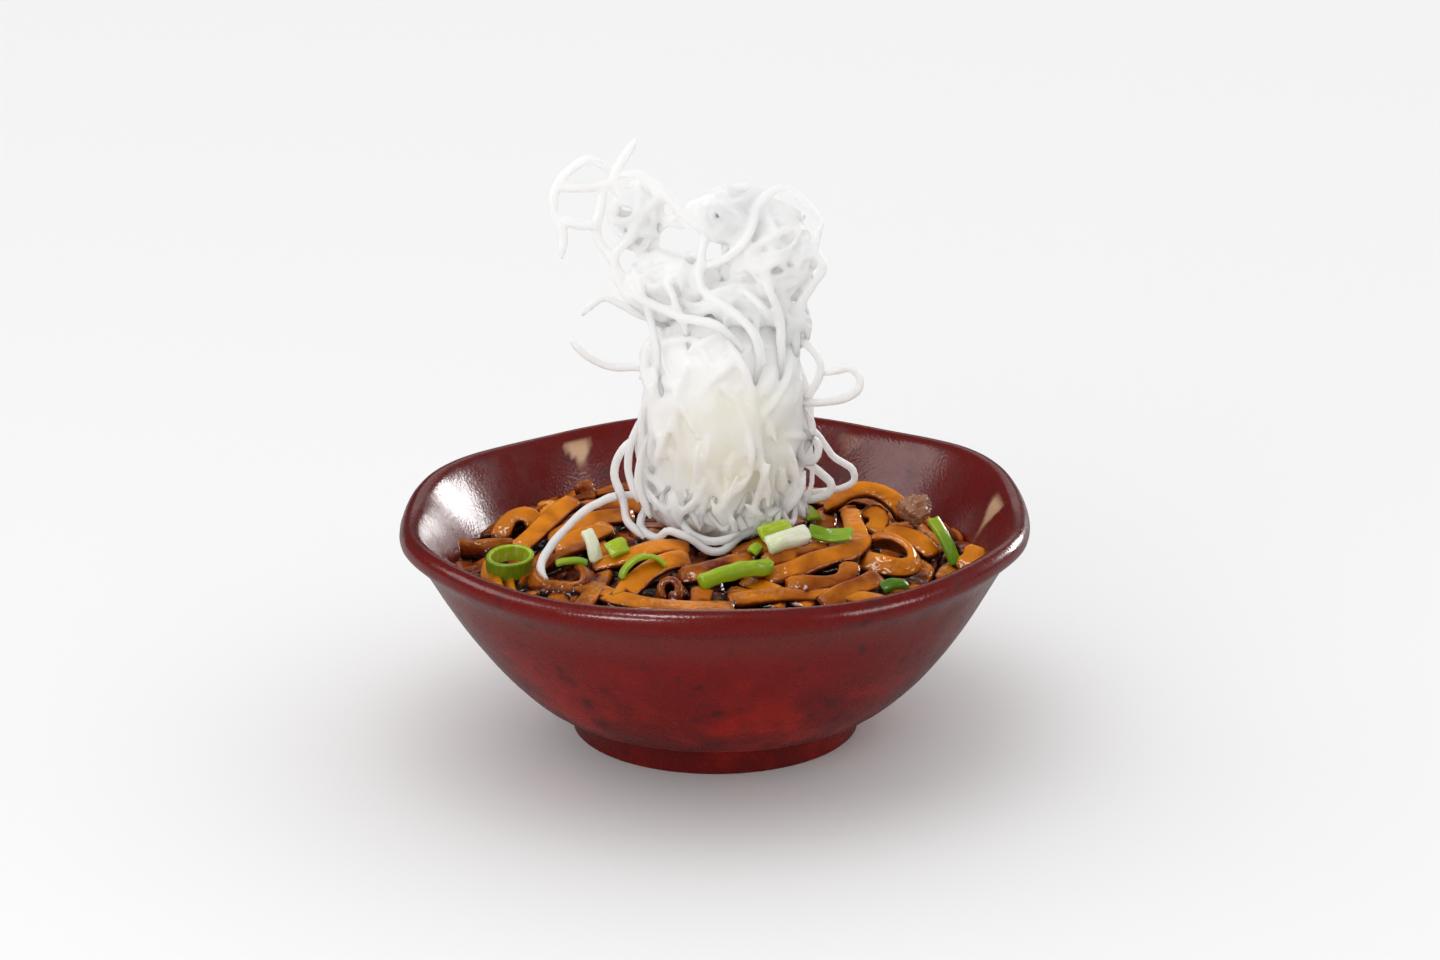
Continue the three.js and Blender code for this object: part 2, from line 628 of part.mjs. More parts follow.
// The strands that show one by one, each through the points where it bends.
const NEST_STRANDS = [
  // Tail that lies over the noodles at the front left.
  [-17, 2, 68, -29, -2, 68.5, -38, -10, 66, -45, -24, 62.5, -48, -36, 60, -46, -43, 58.6],
  // Loop at the left of the foot.
  [-16, 0, 88, -25, -2, 84, -28.6, -1, 76, -26, -3, 68, -25, -9, 64, -20, -17, 61.5],
  // Swags along the front of the foot.
  [-18, -2, 68, -21, -12, 63, -13, -21, 61, -2, -25, 60.4, 9, -22.5, 61, 18, -14, 64],
  [-12, -14, 70, -6, -23, 64, 4, -24, 63.4, 13, -19, 66, 18, -12, 72],
  // Loops at the right of the foot.
  [20, 0, 88, 28, 5, 86, 33, 8, 78, 40, 11, 71.5, 37, 10, 67.5, 24, 8, 66],
  [21, 2, 80, 27, 4, 76, 33.5, 5, 69.5, 30, 4, 66.4, 20, 3, 66],
  // Top left: the loop with its hanging end, the tip, and the strands across it.
  [-28, 0, 162, -33.4, -1, 166, -38, -2, 165, -43.5, -2, 159.5, -44.6, -1, 152, -42, 0, 145, -42.7, 1, 137],
  [-21.5, 2, 171.6, -26.2, 1, 164.5, -28, 0, 160, -24, 0, 154, -17, 1, 150, -8, 2, 146],
  [-30, 0, 160, -31.6, 0, 152, -32.8, 1, 144, -28.5, 0, 137, -26.5, -1, 130, -17, -2, 121, -10, 0, 114],
  [-43, -2, 158.6, -36, -2, 158.6, -28, 0, 159],
  [-43, -1, 150, -38.5, -1, 147.5, -32, 0, 147.5],
  // Web from there to the thick part of the crown.
  [-28, 0, 161, -21, 1, 161.5, -15, 1, 157, -9, 0, 150.5, -3, -1, 146.5, 0, 0, 151, 4, 1, 157, 12, 2, 158],
  [-14, 2, 156, -20, -1, 150.6, -24, -2, 144, -28, -1, 138, -25, 1, 130],
  [-10, 0, 151, -16, 3, 145, -21, 5, 137, -19, 6, 128, -10, 8, 118],
  [-2, 0, 147, -4.3, -4, 138, -3.4, -7, 131, 3, -11, 127, 10, -15, 121, 14, -17, 112],
  [-4, -3, 136, 3, -7, 140, 9, -8, 146, 12, -4, 154, 18.6, 0, 158, 26, 1, 152, 30, 1, 147.5],
  [30, 1, 148, 27.5, -1, 141, 30, -2, 135.5, 26, -2, 129, 20, -3, 120, 17, -2, 112],
  [-24, -3, 128.5, -17, -7, 126.5, -9, -12, 124, 0, -16, 123, 8, -18, 116],
  // Hooks at the left.
  [-12, -2, 118, -24, -3, 124, -30, -3, 127.5, -34, -4, 126, -37, -4, 122.5],
  [-12, -4, 106, -22, -4, 107.5, -29, -4, 107.5, -35, -5, 110.5, -40.5, -6, 116],
  // Arm that curls at the right, and the bend above it.
  [14, -6, 98, 28, -4, 97, 36, -3, 98, 41, -3, 102, 38, -2, 106.5, 30, -2, 104.5],
  [14, 0, 118, 25, -3, 114, 29.5, -3, 107, 26, -3, 99, 18, -2, 92],
];

// The balls that the loose strands of the crown fill.
const CROWN = [
  { centre: vector(15, 2, 141), radius: 18, count: 5 },
  { centre: vector(-15, 3, 145), radius: 14, count: 3 },
  { centre: vector(2, 0, 128), radius: 21, count: 2 },
];
const CROWN_STRANDS = { seed: 21, length: [40, 56], curl: 34, wander: 0.4, reach: 0.8, turnBack: 1.2 };

// The strands that climb the column, each with its foot in a range of heights.
const WALL_STRANDS = { seed: 5, count: 6, foot: [61, 75], rise: [24, 38], radius: 23.6, ripple: 1.6 };

const randomUnit = (random) => vector(random() - 0.5, random() - 0.5, random() - 0.5).normalize();

// A strand that curls as it grows from the middle of a ball, and turns back where it would leave it.
function wanderingStrand(random, { centre, radius }, length) {
  const points = [centre.clone().addScaledVector(randomUnit(random), radius / 3)];
  const axis = randomUnit(random);
  const heading = points[0].clone().sub(centre).normalize();
  const steps = Math.round(length / NEST.step);
  for (let i = 0; i < steps; i++) {
    const here = points.at(-1);
    const outward = here.clone().sub(centre);
    axis.addScaledVector(randomUnit(random), CROWN_STRANDS.wander).normalize();
    heading.applyAxisAngle(axis, radians(CROWN_STRANDS.curl));
    if (outward.length() > CROWN_STRANDS.reach * radius) {
      const excess = heading.dot(outward.normalize());
      if (excess > 0) heading.addScaledVector(outward, -CROWN_STRANDS.turnBack * excess).normalize();
    }
    points.push(here.clone().addScaledVector(heading, NEST.step));
  }
  return points;
}

function crownStrands() {
  const random = seeded(CROWN_STRANDS.seed);
  const length = () => THREE.MathUtils.lerp(...CROWN_STRANDS.length, random());
  const filling = (ball) => Array.from({ length: ball.count }, () => wanderingStrand(random, ball, length()));
  return CROWN.flatMap(filling);
}

function wallStrands() {
  const random = seeded(WALL_STRANDS.seed);
  return Array.from({ length: WALL_STRANDS.count }, (_, i) => {
    const begin = (i / WALL_STRANDS.count) * 2 * Math.PI;
    const rise = THREE.MathUtils.lerp(...WALL_STRANDS.rise, random());
    const foot = THREE.MathUtils.lerp(...WALL_STRANDS.foot, random());
    const swing = 0.5 + random();
    return Array.from({ length: 7 }, (_, k) => {
      const share = k / 6;
      const angle = begin + swing * Math.sin(3.4 * share);
      const radius = WALL_STRANDS.radius + WALL_STRANDS.ripple * Math.sin(5 * share + i);
      return vector(NEST.x + radius * Math.cos(angle), radius * Math.sin(angle), foot + rise * share);
    });
  });
}

// The whole object

const material = (color, roughness) => new THREE.MeshStandardMaterial({ color, roughness, metalness: 0 });
const MATERIALS = {
  glaze: material(0x6e1518, 0.28),
  noodle: material(0xb5600f, 0.25),
  fried: material(0xece8e0, 0.6),
  green: material(0x5fa321, 0.45),
  white: material(0xe9eedb, 0.45),
  meat: material(0x7a4a34, 0.5),
};

function named(name, geometry, finish) {
  const mesh = new THREE.Mesh(geometry, finish);
  mesh.name = name;
  return mesh;
}

const object = new THREE.Group();
object.add(named("bowl", turned(bowlOutline(), BOWL_FACETS), MATERIALS.glaze));

const seat = nestSeat();
const piled = [...ringNoodles(), ...LAID_NOODLES].reduce(laidOn, heapCore());
let heap = largest(piled.intersect(cavity()).simplify(SMOOTHING));

const heapMesh = named("heap", geometryOf(heap), MATERIALS.noodle);
const toppings = Object.entries(SCALLIONS).map(([name, piece]) => {
  const finish = name.includes("white") ? MATERIALS.white : MATERIALS.green;
  return named(name, restOn(heapMesh, scallionGeometry(piece), piece), finish);
});
toppings.push(named("meat_crumb", restOn(heapMesh, meatGeometry(), MEAT), MATERIALS.meat));

const strands = [
  ...NEST_STRANDS.map((bends) => draped(heapMesh, bends)),
  ...crownStrands(),
  ...wallStrands(),
].map((points) => strandSolid(points));
const tangle = [...NEST_CLUMPS.map(clump), ...strands].reduce((sum, strand) => sum.add(strand));
const clearances = [
  [0, 0, GAP],
  [GAP, 0, 0],
  [-GAP, 0, 0],
  [0, GAP, 0],
  [0, -GAP, 0],
];
let nest = clearances.reduce((rest, move) => rest.subtract(heap.translate(move)), tangle.simplify(SMOOTHING));

for (const topping of toppings) {
  const room = roomFor(topping.geometry);
  heap = heap.subtract(room);
  nest = nest.subtract(room);
}

object.add(named("noodles", geometryOf(largest(heap).simplify(TRIM)), MATERIALS.noodle));
object.add(named("rice_noodle_nest", geometryOf(largest(nest).simplify(TRIM)), MATERIALS.fried));
object.add(...toppings);

export default object;
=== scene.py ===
import json
import math
import random

import bmesh
import bpy
import numpy as np
from mathutils import Matrix, Vector, noise
from mathutils.bvhtree import BVHTree
from mathutils.kdtree import KDTree

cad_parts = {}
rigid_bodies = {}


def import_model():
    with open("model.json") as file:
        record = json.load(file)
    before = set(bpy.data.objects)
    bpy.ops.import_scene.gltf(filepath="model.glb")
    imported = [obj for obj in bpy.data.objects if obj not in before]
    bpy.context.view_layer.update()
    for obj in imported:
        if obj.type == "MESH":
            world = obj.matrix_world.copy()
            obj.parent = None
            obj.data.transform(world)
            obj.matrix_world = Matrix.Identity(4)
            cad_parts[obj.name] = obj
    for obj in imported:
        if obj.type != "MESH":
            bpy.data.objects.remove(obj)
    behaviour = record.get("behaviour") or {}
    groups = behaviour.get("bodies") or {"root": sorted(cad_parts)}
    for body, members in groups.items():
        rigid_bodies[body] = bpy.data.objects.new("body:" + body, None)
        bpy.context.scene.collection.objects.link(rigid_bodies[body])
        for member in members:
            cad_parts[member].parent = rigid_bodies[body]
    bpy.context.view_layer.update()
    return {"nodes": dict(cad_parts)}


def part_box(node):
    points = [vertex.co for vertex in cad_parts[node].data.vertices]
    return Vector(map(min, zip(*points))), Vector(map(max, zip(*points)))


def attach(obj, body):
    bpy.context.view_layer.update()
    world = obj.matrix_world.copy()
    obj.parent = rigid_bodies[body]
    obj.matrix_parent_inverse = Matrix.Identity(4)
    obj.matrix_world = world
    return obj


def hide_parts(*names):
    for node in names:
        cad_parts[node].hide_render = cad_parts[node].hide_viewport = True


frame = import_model()
print("frame loaded")

mm = 0.001
noise.seed_set(1)  # noise_vector would differ in each run otherwise


# Small helpers

def colour(code):  # sRGB hex to the linear colour that a socket takes
    channels = [int(code[i:i + 2], 16) / 255 for i in (1, 3, 5)]
    return tuple(c / 12.92 if c < 0.04045 else ((c + 0.055) / 1.055) ** 2.4 for c in channels) + (1,)


def addNode(tree, kind, inputs=None, **settings):  # inputs go by socket name or number
    node = tree.nodes.new(kind)
    for name, value in settings.items():
        setattr(node, name, value)
    for socket, value in (inputs or {}).items():
        if isinstance(value, bpy.types.NodeSocket):
            tree.links.new(value, node.inputs[socket])
        else:
            node.inputs[socket].default_value = value
    return node


def newMaterial(name):  # gives the material, its node tree and Object coordinates in millimetres
    material = bpy.data.materials.new(name)
    material.use_nodes = True
    tree = material.node_tree
    tree.nodes.clear()
    place = addNode(tree, "ShaderNodeTexCoord")
    inMm = addNode(tree, "ShaderNodeMapping", {"Vector": place.outputs["Object"], "Scale": (1 / mm,) * 3})
    return material, tree, inMm.outputs["Vector"]


def clamp(value, low=0.0, high=1.0):
    return max(low, min(high, value))


def smoothStep(value, low, high):
    share = clamp((value - low) / (high - low))
    return share * share * (3 - 2 * share)


def swells(x, y, z, size=1.0):  # smooth noise, of a size in millimetres
    return noise.noise(Vector((x, y, z)) / size)


def nodeTree(*names):  # the ray-cast tree of CAD nodes, in millimetres
    corners, faces = [], []
    for name in names:
        mesh = frame["nodes"][name].data
        first = len(corners)
        corners += [v.co / mm for v in mesh.vertices]
        faces += [[first + i for i in face.vertices] for face in mesh.polygons]
    return BVHTree.FromPolygons(corners, faces)


def topOf(tree, x, y):  # height of the uppermost surface over a place, or zero beside it
    hit = tree.ray_cast(Vector((x, y, 200)), Vector((0, 0, -1)))[0]
    return hit.z if hit else 0.0


def vertLayers(bm, *names):
    return [bm.verts.layers.float.new(name) for name in names]


def roundEdges(bm, edges, offset, segments):
    bmesh.ops.bevel(bm, geom=edges, offset=offset, segments=segments, profile=0.5,
                    affect="EDGES", material=-1)


def meshFrom(bm, name):
    mesh = bpy.data.meshes.new(name)
    bm.to_mesh(mesh)
    bm.free()
    return mesh


def placed(name, data):
    thing = bpy.data.objects.new(name, data)
    bpy.context.scene.collection.objects.link(thing)
    return thing


def trianglesOf(mesh):
    return f"{sum(len(face.vertices) - 2 for face in mesh.polygons)} triangles"


def finishPiece(bm, name, material, nodes):
    bmesh.ops.scale(bm, vec=(mm, mm, mm), verts=bm.verts)
    mesh = meshFrom(bm, name)
    mesh.shade_smooth()
    mesh.materials.append(material)
    piece = placed(name, mesh)
    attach(piece, "root")
    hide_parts(*nodes)
    print(name, trianglesOf(mesh))
    return piece


# Bowl: thrown stoneware with a rolled, hand-pinched lip

bowl = {
    "footRadius": 41.3,
    "footHeight": 6.8,
    "footInside": 36.4,
    "footRecess": 4.4,
    "footRound": 0.7,
    "ridge": (43.2, 7.9),
    "underLip": (85.0, 56.6),
    "lip": (87.0, 62.0),
    "lipRoll": 3.6,
    "swell": 0.62,
    "wall": 5.0,
    "floor": 11.6,
    "turns": 320,
    "wobble": 0.3,
}
rimWaves = [  # order, outward, upward, angle of the peak
    (2, 1.8, 0.5, 53),
    (6, 0.5, 0.7, 31),
    (8, 0.4, 0.2, 26),
]
glazeBreaks = [  # angle, width, length and strength of each thin place in the glaze under the lip
    (121, 8.5, 11.0, 1.0),
    (61, 8.0, 9.0, 0.2),
    (10, 10.0, 15.0, 0.9),
    (181, 7.0, 9.0, 0.3),
    (241, 8.0, 9.0, 0.4),
    (301, 7.0, 9.0, 0.4),
]


def rimWave(angle, height):  # how far the hand shaping moves the wall out and up
    share = smoothStep(height, 18, bowl["lip"][1])
    swings = [(o, u, share * math.cos(n * (angle - math.radians(peak)))) for n, o, u, peak in rimWaves]
    return sum(o * s for o, u, s in swings), sum(u * s for o, u, s in swings)


def waved(bm):
    for vert in bm.verts:
        radius = math.hypot(vert.co.x, vert.co.y)
        if radius < 1:
            continue
        outward, upward = rimWave(math.atan2(vert.co.y, vert.co.x), vert.co.z)
        grow = 1 + outward / radius
        vert.co = (vert.co.x * grow, vert.co.y * grow, vert.co.z + upward)


def outerWall(share):  # from 0 at the ridge over the foot to 1 under the lip
    (r0, z0), (r1, z1) = bowl["ridge"], bowl["underLip"]
    return Vector((r0 + (r1 - r0) * max(share, 0) ** bowl["swell"], z0 + (z1 - z0) * share))


def innerWall(share, depth):
    along = (outerWall(share + 0.01) - outerWall(share - 0.01)).normalized()
    return outerWall(share) + Vector((-along.y, along.x)) * depth


def evened(points, passes):  # softens the turns of an outline and keeps its ends
    for _ in range(passes):
        middle = [(a + 2 * b + c) / 4 for a, b, c in zip(points, points[1:], points[2:])]
        points = [points[0], *middle, points[-1]]
    return points


def spunFrom(outline, turns):  # a closed solid of revolution about +Z
    bm = bmesh.new()
    verts = [bm.verts.new((r, 0, z)) for r, z in outline]
    edges = [bm.edges.new(pair) for pair in zip(verts, verts[1:])]
    bmesh.ops.spin(bm, geom=verts + edges, axis=(0, 0, 1), cent=(0, 0, 0), angle=2 * math.pi,
                   steps=turns, use_merge=True)
    bmesh.ops.remove_doubles(bm, verts=bm.verts, dist=0.001)
    bmesh.ops.recalc_face_normals(bm, faces=bm.faces)
    return bm


def bowlOutline():
    inside, recess = bowl["footInside"], bowl["footRecess"]
    foot = [(0, recess), (inside - 1.2, recess), (inside, 0), (bowl["footRadius"] - 0.1, 0),
            (bowl["footRadius"] - 0.6, bowl["footHeight"] - 0.5), (42.2, 7.1), bowl["ridge"]]
    outer = [outerWall(0.035 + 0.965 * (i / 55)) for i in range(56)]
    roll, (lipRadius, lipHeight) = bowl["lipRoll"], bowl["lip"]
    angles = [math.radians(a) for a in range(-62, 158, 9)]
    lip = [Vector((lipRadius + roll * math.cos(a), lipHeight + roll * math.sin(a))) for a in angles]
    inner = [innerWall(0.985 - 0.925 * i / 44, bowl["wall"]) for i in range(45)]
    body = evened(outer + lip + inner, 12)
    for point in body[:12]:  # the shallow turned grooves over the foot
        point.x += 0.22 * math.sin(2.6 * point.y) * smoothStep(18 - point.y, 0, 5)
    return foot + [tuple(p) for p in body] + [(0, bowl["floor"])]


def isOutside(x, y, z):  # of the middle of the bowl's wall
    share = (z - bowl["ridge"][1]) / (bowl["underLip"][1] - bowl["ridge"][1])
    wave = rimWave(math.atan2(y, x), z)[0]
    return math.hypot(x, y) > outerWall(share).x - 0.6 * bowl["wall"] + wave


def greyedAt(x, y, z):  # a painted reflection under the lip, and a grey band on the ridge over the foot
    if not isOutside(x, y, z):
        return 0.0
    underLip = smoothStep(z, 45, 54) * (1 - smoothStep(z, 56.5, 59))
    return underLip + smoothStep(z, 7, 8.5) * (1 - smoothStep(z, 9.5, 12.5))


def breakAt(x, y, z):  # how thin the glaze is at a place on the inner wall, from 0 to 1
    if z < 44 or isOutside(x, y, z):
        return 0.0
    radius = math.hypot(x, y)
    angle = math.degrees(math.atan2(y, x))
    thinAndSheen = 0.0
    for where, width, length, strength in glazeBreaks:
        turn = (angle - where + 180) % 360 - 180
        side = abs(math.radians(turn)) * radius
        down = (63.2 + rimWave(math.radians(where), 62)[1] - z) / length
        half = width * (0.5 - 0.44 * smoothStep(down, 0.1, 0.65)) * smoothStep(1.05 - down, 0.0, 0.4)
        ragged = 0.7 * swells(x, y, z, 2.4)
        edge = smoothStep(half - side + ragged, -0.9, 1.2) * smoothStep(down, -0.02, 0.1)
        edge *= 1 - 0.6 * smoothStep(down, 0.45, 0.8)
        thinAndSheen = max(thinAndSheen, strength * edge)
    return thinAndSheen


def makeBowl(material):
    bm = spunFrom(bowlOutline(), bowl["turns"])
    sharp = [e for e in bm.edges if all(v.co.z < 0.1 for v in e.verts) and e.calc_face_angle(0) > 0.5]
    roundEdges(bm, sharp, bowl["footRound"], 3)
    waved(bm)
    bare, greyed = vertLayers(bm, "bareClay", "greyed")
    for vert in bm.verts:
        x, y, z = vert.co
        if z > 12:
            uneven = swells(x, y, z, 26) + 0.4 * swells(x, y, z, 9)
            grow = 1 + bowl["wobble"] * smoothStep(z, 12, 20) * uneven / (math.hypot(x, y) or 1)
            vert.co = (x * grow, y * grow, z)
        vert[bare], vert[greyed] = breakAt(x, y, z), greyedAt(x, y, z)
    finishPiece(bm, "glazedBowl", material, ["bowl"])


def oxbloodGlaze():
    # A copper-red reduction glaze on stoneware, dipped and fired: it pools dark, breaks brighter red in
    # patches, is thin and brown on the lip, and its skin has the fine dimples of orange peel.
    material, tree, place = newMaterial("oxbloodStonewareGlaze")
    blotches = addNode(tree, "ShaderNodeTexNoise", {
        "Vector": place, "Scale": 1 / 26, "Detail": 5, "Roughness": 0.62})
    patches = addNode(tree, "ShaderNodeTexNoise", {
        "Vector": place, "Scale": 1 / 9, "Detail": 4, "Roughness": 0.7})
    grains = addNode(tree, "ShaderNodeTexNoise", {"Vector": place, "Scale": 1 / 1.4, "Detail": 3})
    height = addNode(tree, "ShaderNodeSeparateXYZ", {"Vector": place}).outputs["Z"]
    low = addNode(tree, "ShaderNodeMapRange", {"Value": height, "From Min": 52, "From Max": 16})
    bright = addNode(tree, "ShaderNodeMapRange", {
        "Value": blotches.outputs["Fac"], "From Min": 0.44, "From Max": 0.66},
        interpolation_type="SMOOTHSTEP")
    brightLow = addNode(tree, "ShaderNodeMath", {0: bright.outputs[0], 1: low.outputs[0]},
                        operation="MULTIPLY")
    # greyed: a painted reflection under the lip, and a grey band over the foot
    thinAndSheen = addNode(tree, "ShaderNodeAttribute", attribute_name="greyed")
    bare = addNode(tree, "ShaderNodeAttribute", attribute_name="bareClay")
    glazeLayers = [  # what each layer follows, where it starts and is full, its most, and its colour
        (brightLow.outputs[0], 0, 1, 1, "#a01608"),
        (patches.outputs["Fac"], 0.56, 0.74, 0.8, "#360b0e"),  # pooled
        (grains.outputs["Fac"], 0.6, 0.8, 0.2, "#2b0a0c"),  # specks
        (height, 60.5, 65.5, 0.5, "#65110d"),  # lip
        (height, 9, 5, 0.25, "#2c1110"),  # foot
        # painted reflection under the lip, and a grey band over the foot
        (thinAndSheen.outputs["Fac"], 0, 1, 0.14, "#75554b"),
        (bare.outputs["Fac"], 0, 1, 1, "#d8b08c"),
    ]
    glaze = colour("#6f0f0b")
    for source, start, full, most, code in glazeLayers:
        share = addNode(tree, "ShaderNodeMapRange", {
            "Value": source, "From Min": start, "From Max": full, "To Max": most})
        glaze = addNode(tree, "ShaderNodeMix", {"Factor": share.outputs[0], "A": glaze, "B": colour(code)},
                        data_type="RGBA").outputs[2]
    rough = addNode(tree, "ShaderNodeMapRange", {
        "Value": patches.outputs["Fac"], "From Min": 0.3, "From Max": 0.75, "To Min": 0.2, "To Max": 0.38})
    peel = addNode(tree, "ShaderNodeTexNoise", {"Vector": place, "Scale": 1 / 0.8, "Detail": 0})
    dimples = addNode(tree, "ShaderNodeBump", {
        "Height": peel.outputs["Fac"], "Distance": 0.0002, "Strength": 0.22})
    runs = addNode(tree, "ShaderNodeTexNoise", {"Vector": place, "Scale": 1 / 6, "Detail": 3})
    skin = addNode(tree, "ShaderNodeBump", {
        "Height": runs.outputs["Fac"], "Distance": 0.0006, "Strength": 0.14,
        "Normal": dimples.outputs["Normal"]})
    shader = addNode(tree, "ShaderNodeBsdfPrincipled", {
        "Base Color": glaze, "Roughness": rough.outputs[0], "IOR": 1.5, "Coat Weight": 0.5,
        "Coat Roughness": 0.12, "Normal": skin.outputs["Normal"], "Coat Normal": skin.outputs["Normal"]})
    addNode(tree, "ShaderNodeOutputMaterial", {"Surface": shader.outputs[0]})
    return material


makeBowl(oxbloodGlaze())
print("bowl made")


# Curves, and tubes bent along them

tubes = {}


def tubeOf(sides, slices):  # a capped tube of radius 1, one unit long for each slice
    if (sides, slices) not in tubes:
        bm = bmesh.new()
        bmesh.ops.create_cone(bm, cap_ends=True, segments=sides, radius1=1, radius2=1, depth=slices)
        upright = [e for e in bm.edges if abs(e.verts[0].co.z - e.verts[1].co.z) > 0.5]
        bmesh.ops.subdivide_edges(bm, edges=upright, cuts=slices - 1, use_grid_fill=True)
        bmesh.ops.translate(bm, vec=(0, 0, slices / 2), verts=bm.verts)
        tubes[sides, slices] = meshFrom(bm, "tube")
    return tubes[sides, slices]


def throughPoints(points, step):  # a smooth curve through points, as even steps of about the given length
    ends = [2 * points[0] - points[1], *points, 2 * points[-1] - points[-2]]
    fine = []
    for a, b, c, d in zip(ends, ends[1:], ends[2:], ends[3:]):
        for k in range(8):
            t = k / 8
            fine.append(0.5 * (2 * b + (c - a) * t + (2 * a - 5 * b + 4 * c - d) * t * t
                               + (3 * b - a - 3 * c + d) * t * t * t))
    fine.append(points[-1])
    reach = [0.0]
    for a, b in zip(fine, fine[1:]):
        reach.append(reach[-1] + (b - a).length)
    count = max(3, round(reach[-1] / step))
    even, k = [], 0
    for i in range(count + 1):
        want = reach[-1] * i / count
        while k < len(fine) - 2 and reach[k + 1] < want:
            k += 1
        even.append(fine[k].lerp(fine[k + 1], clamp((want - reach[k]) / max(reach[k + 1] - reach[k], 1e-6))))
    return even


def directions(path):
    ends = [path[0], *path, path[-1]]
    return [(c - a).normalized() for a, c in zip(ends, ends[2:])]


def bendTube(bm, path, normals, section, sides, marks):
    # section(share, angle) gives the offset along the normal and across it; marks are attribute values.
    first = len(bm.verts)
    bm.from_mesh(tubeOf(sides, len(path) - 1))
    bm.verts.ensure_lookup_table()
    layers = [(bm.verts.layers.float[name], value) for name, value in marks.items()]
    tangents = directions(path)
    across = [t.cross(n) for t, n in zip(tangents, normals)]
    for vert in bm.verts[first:]:
        k = round(vert.co.z)
        out, side = section(k / (len(path) - 1), math.atan2(vert.co.y, vert.co.x))
        vert.co = path[k] + normals[k] * out + across[k] * side
        for layer, value in layers:
            vert[layer] = value(vert.co) if callable(value) else value


# Noodles: thick and flat, in brown sauce

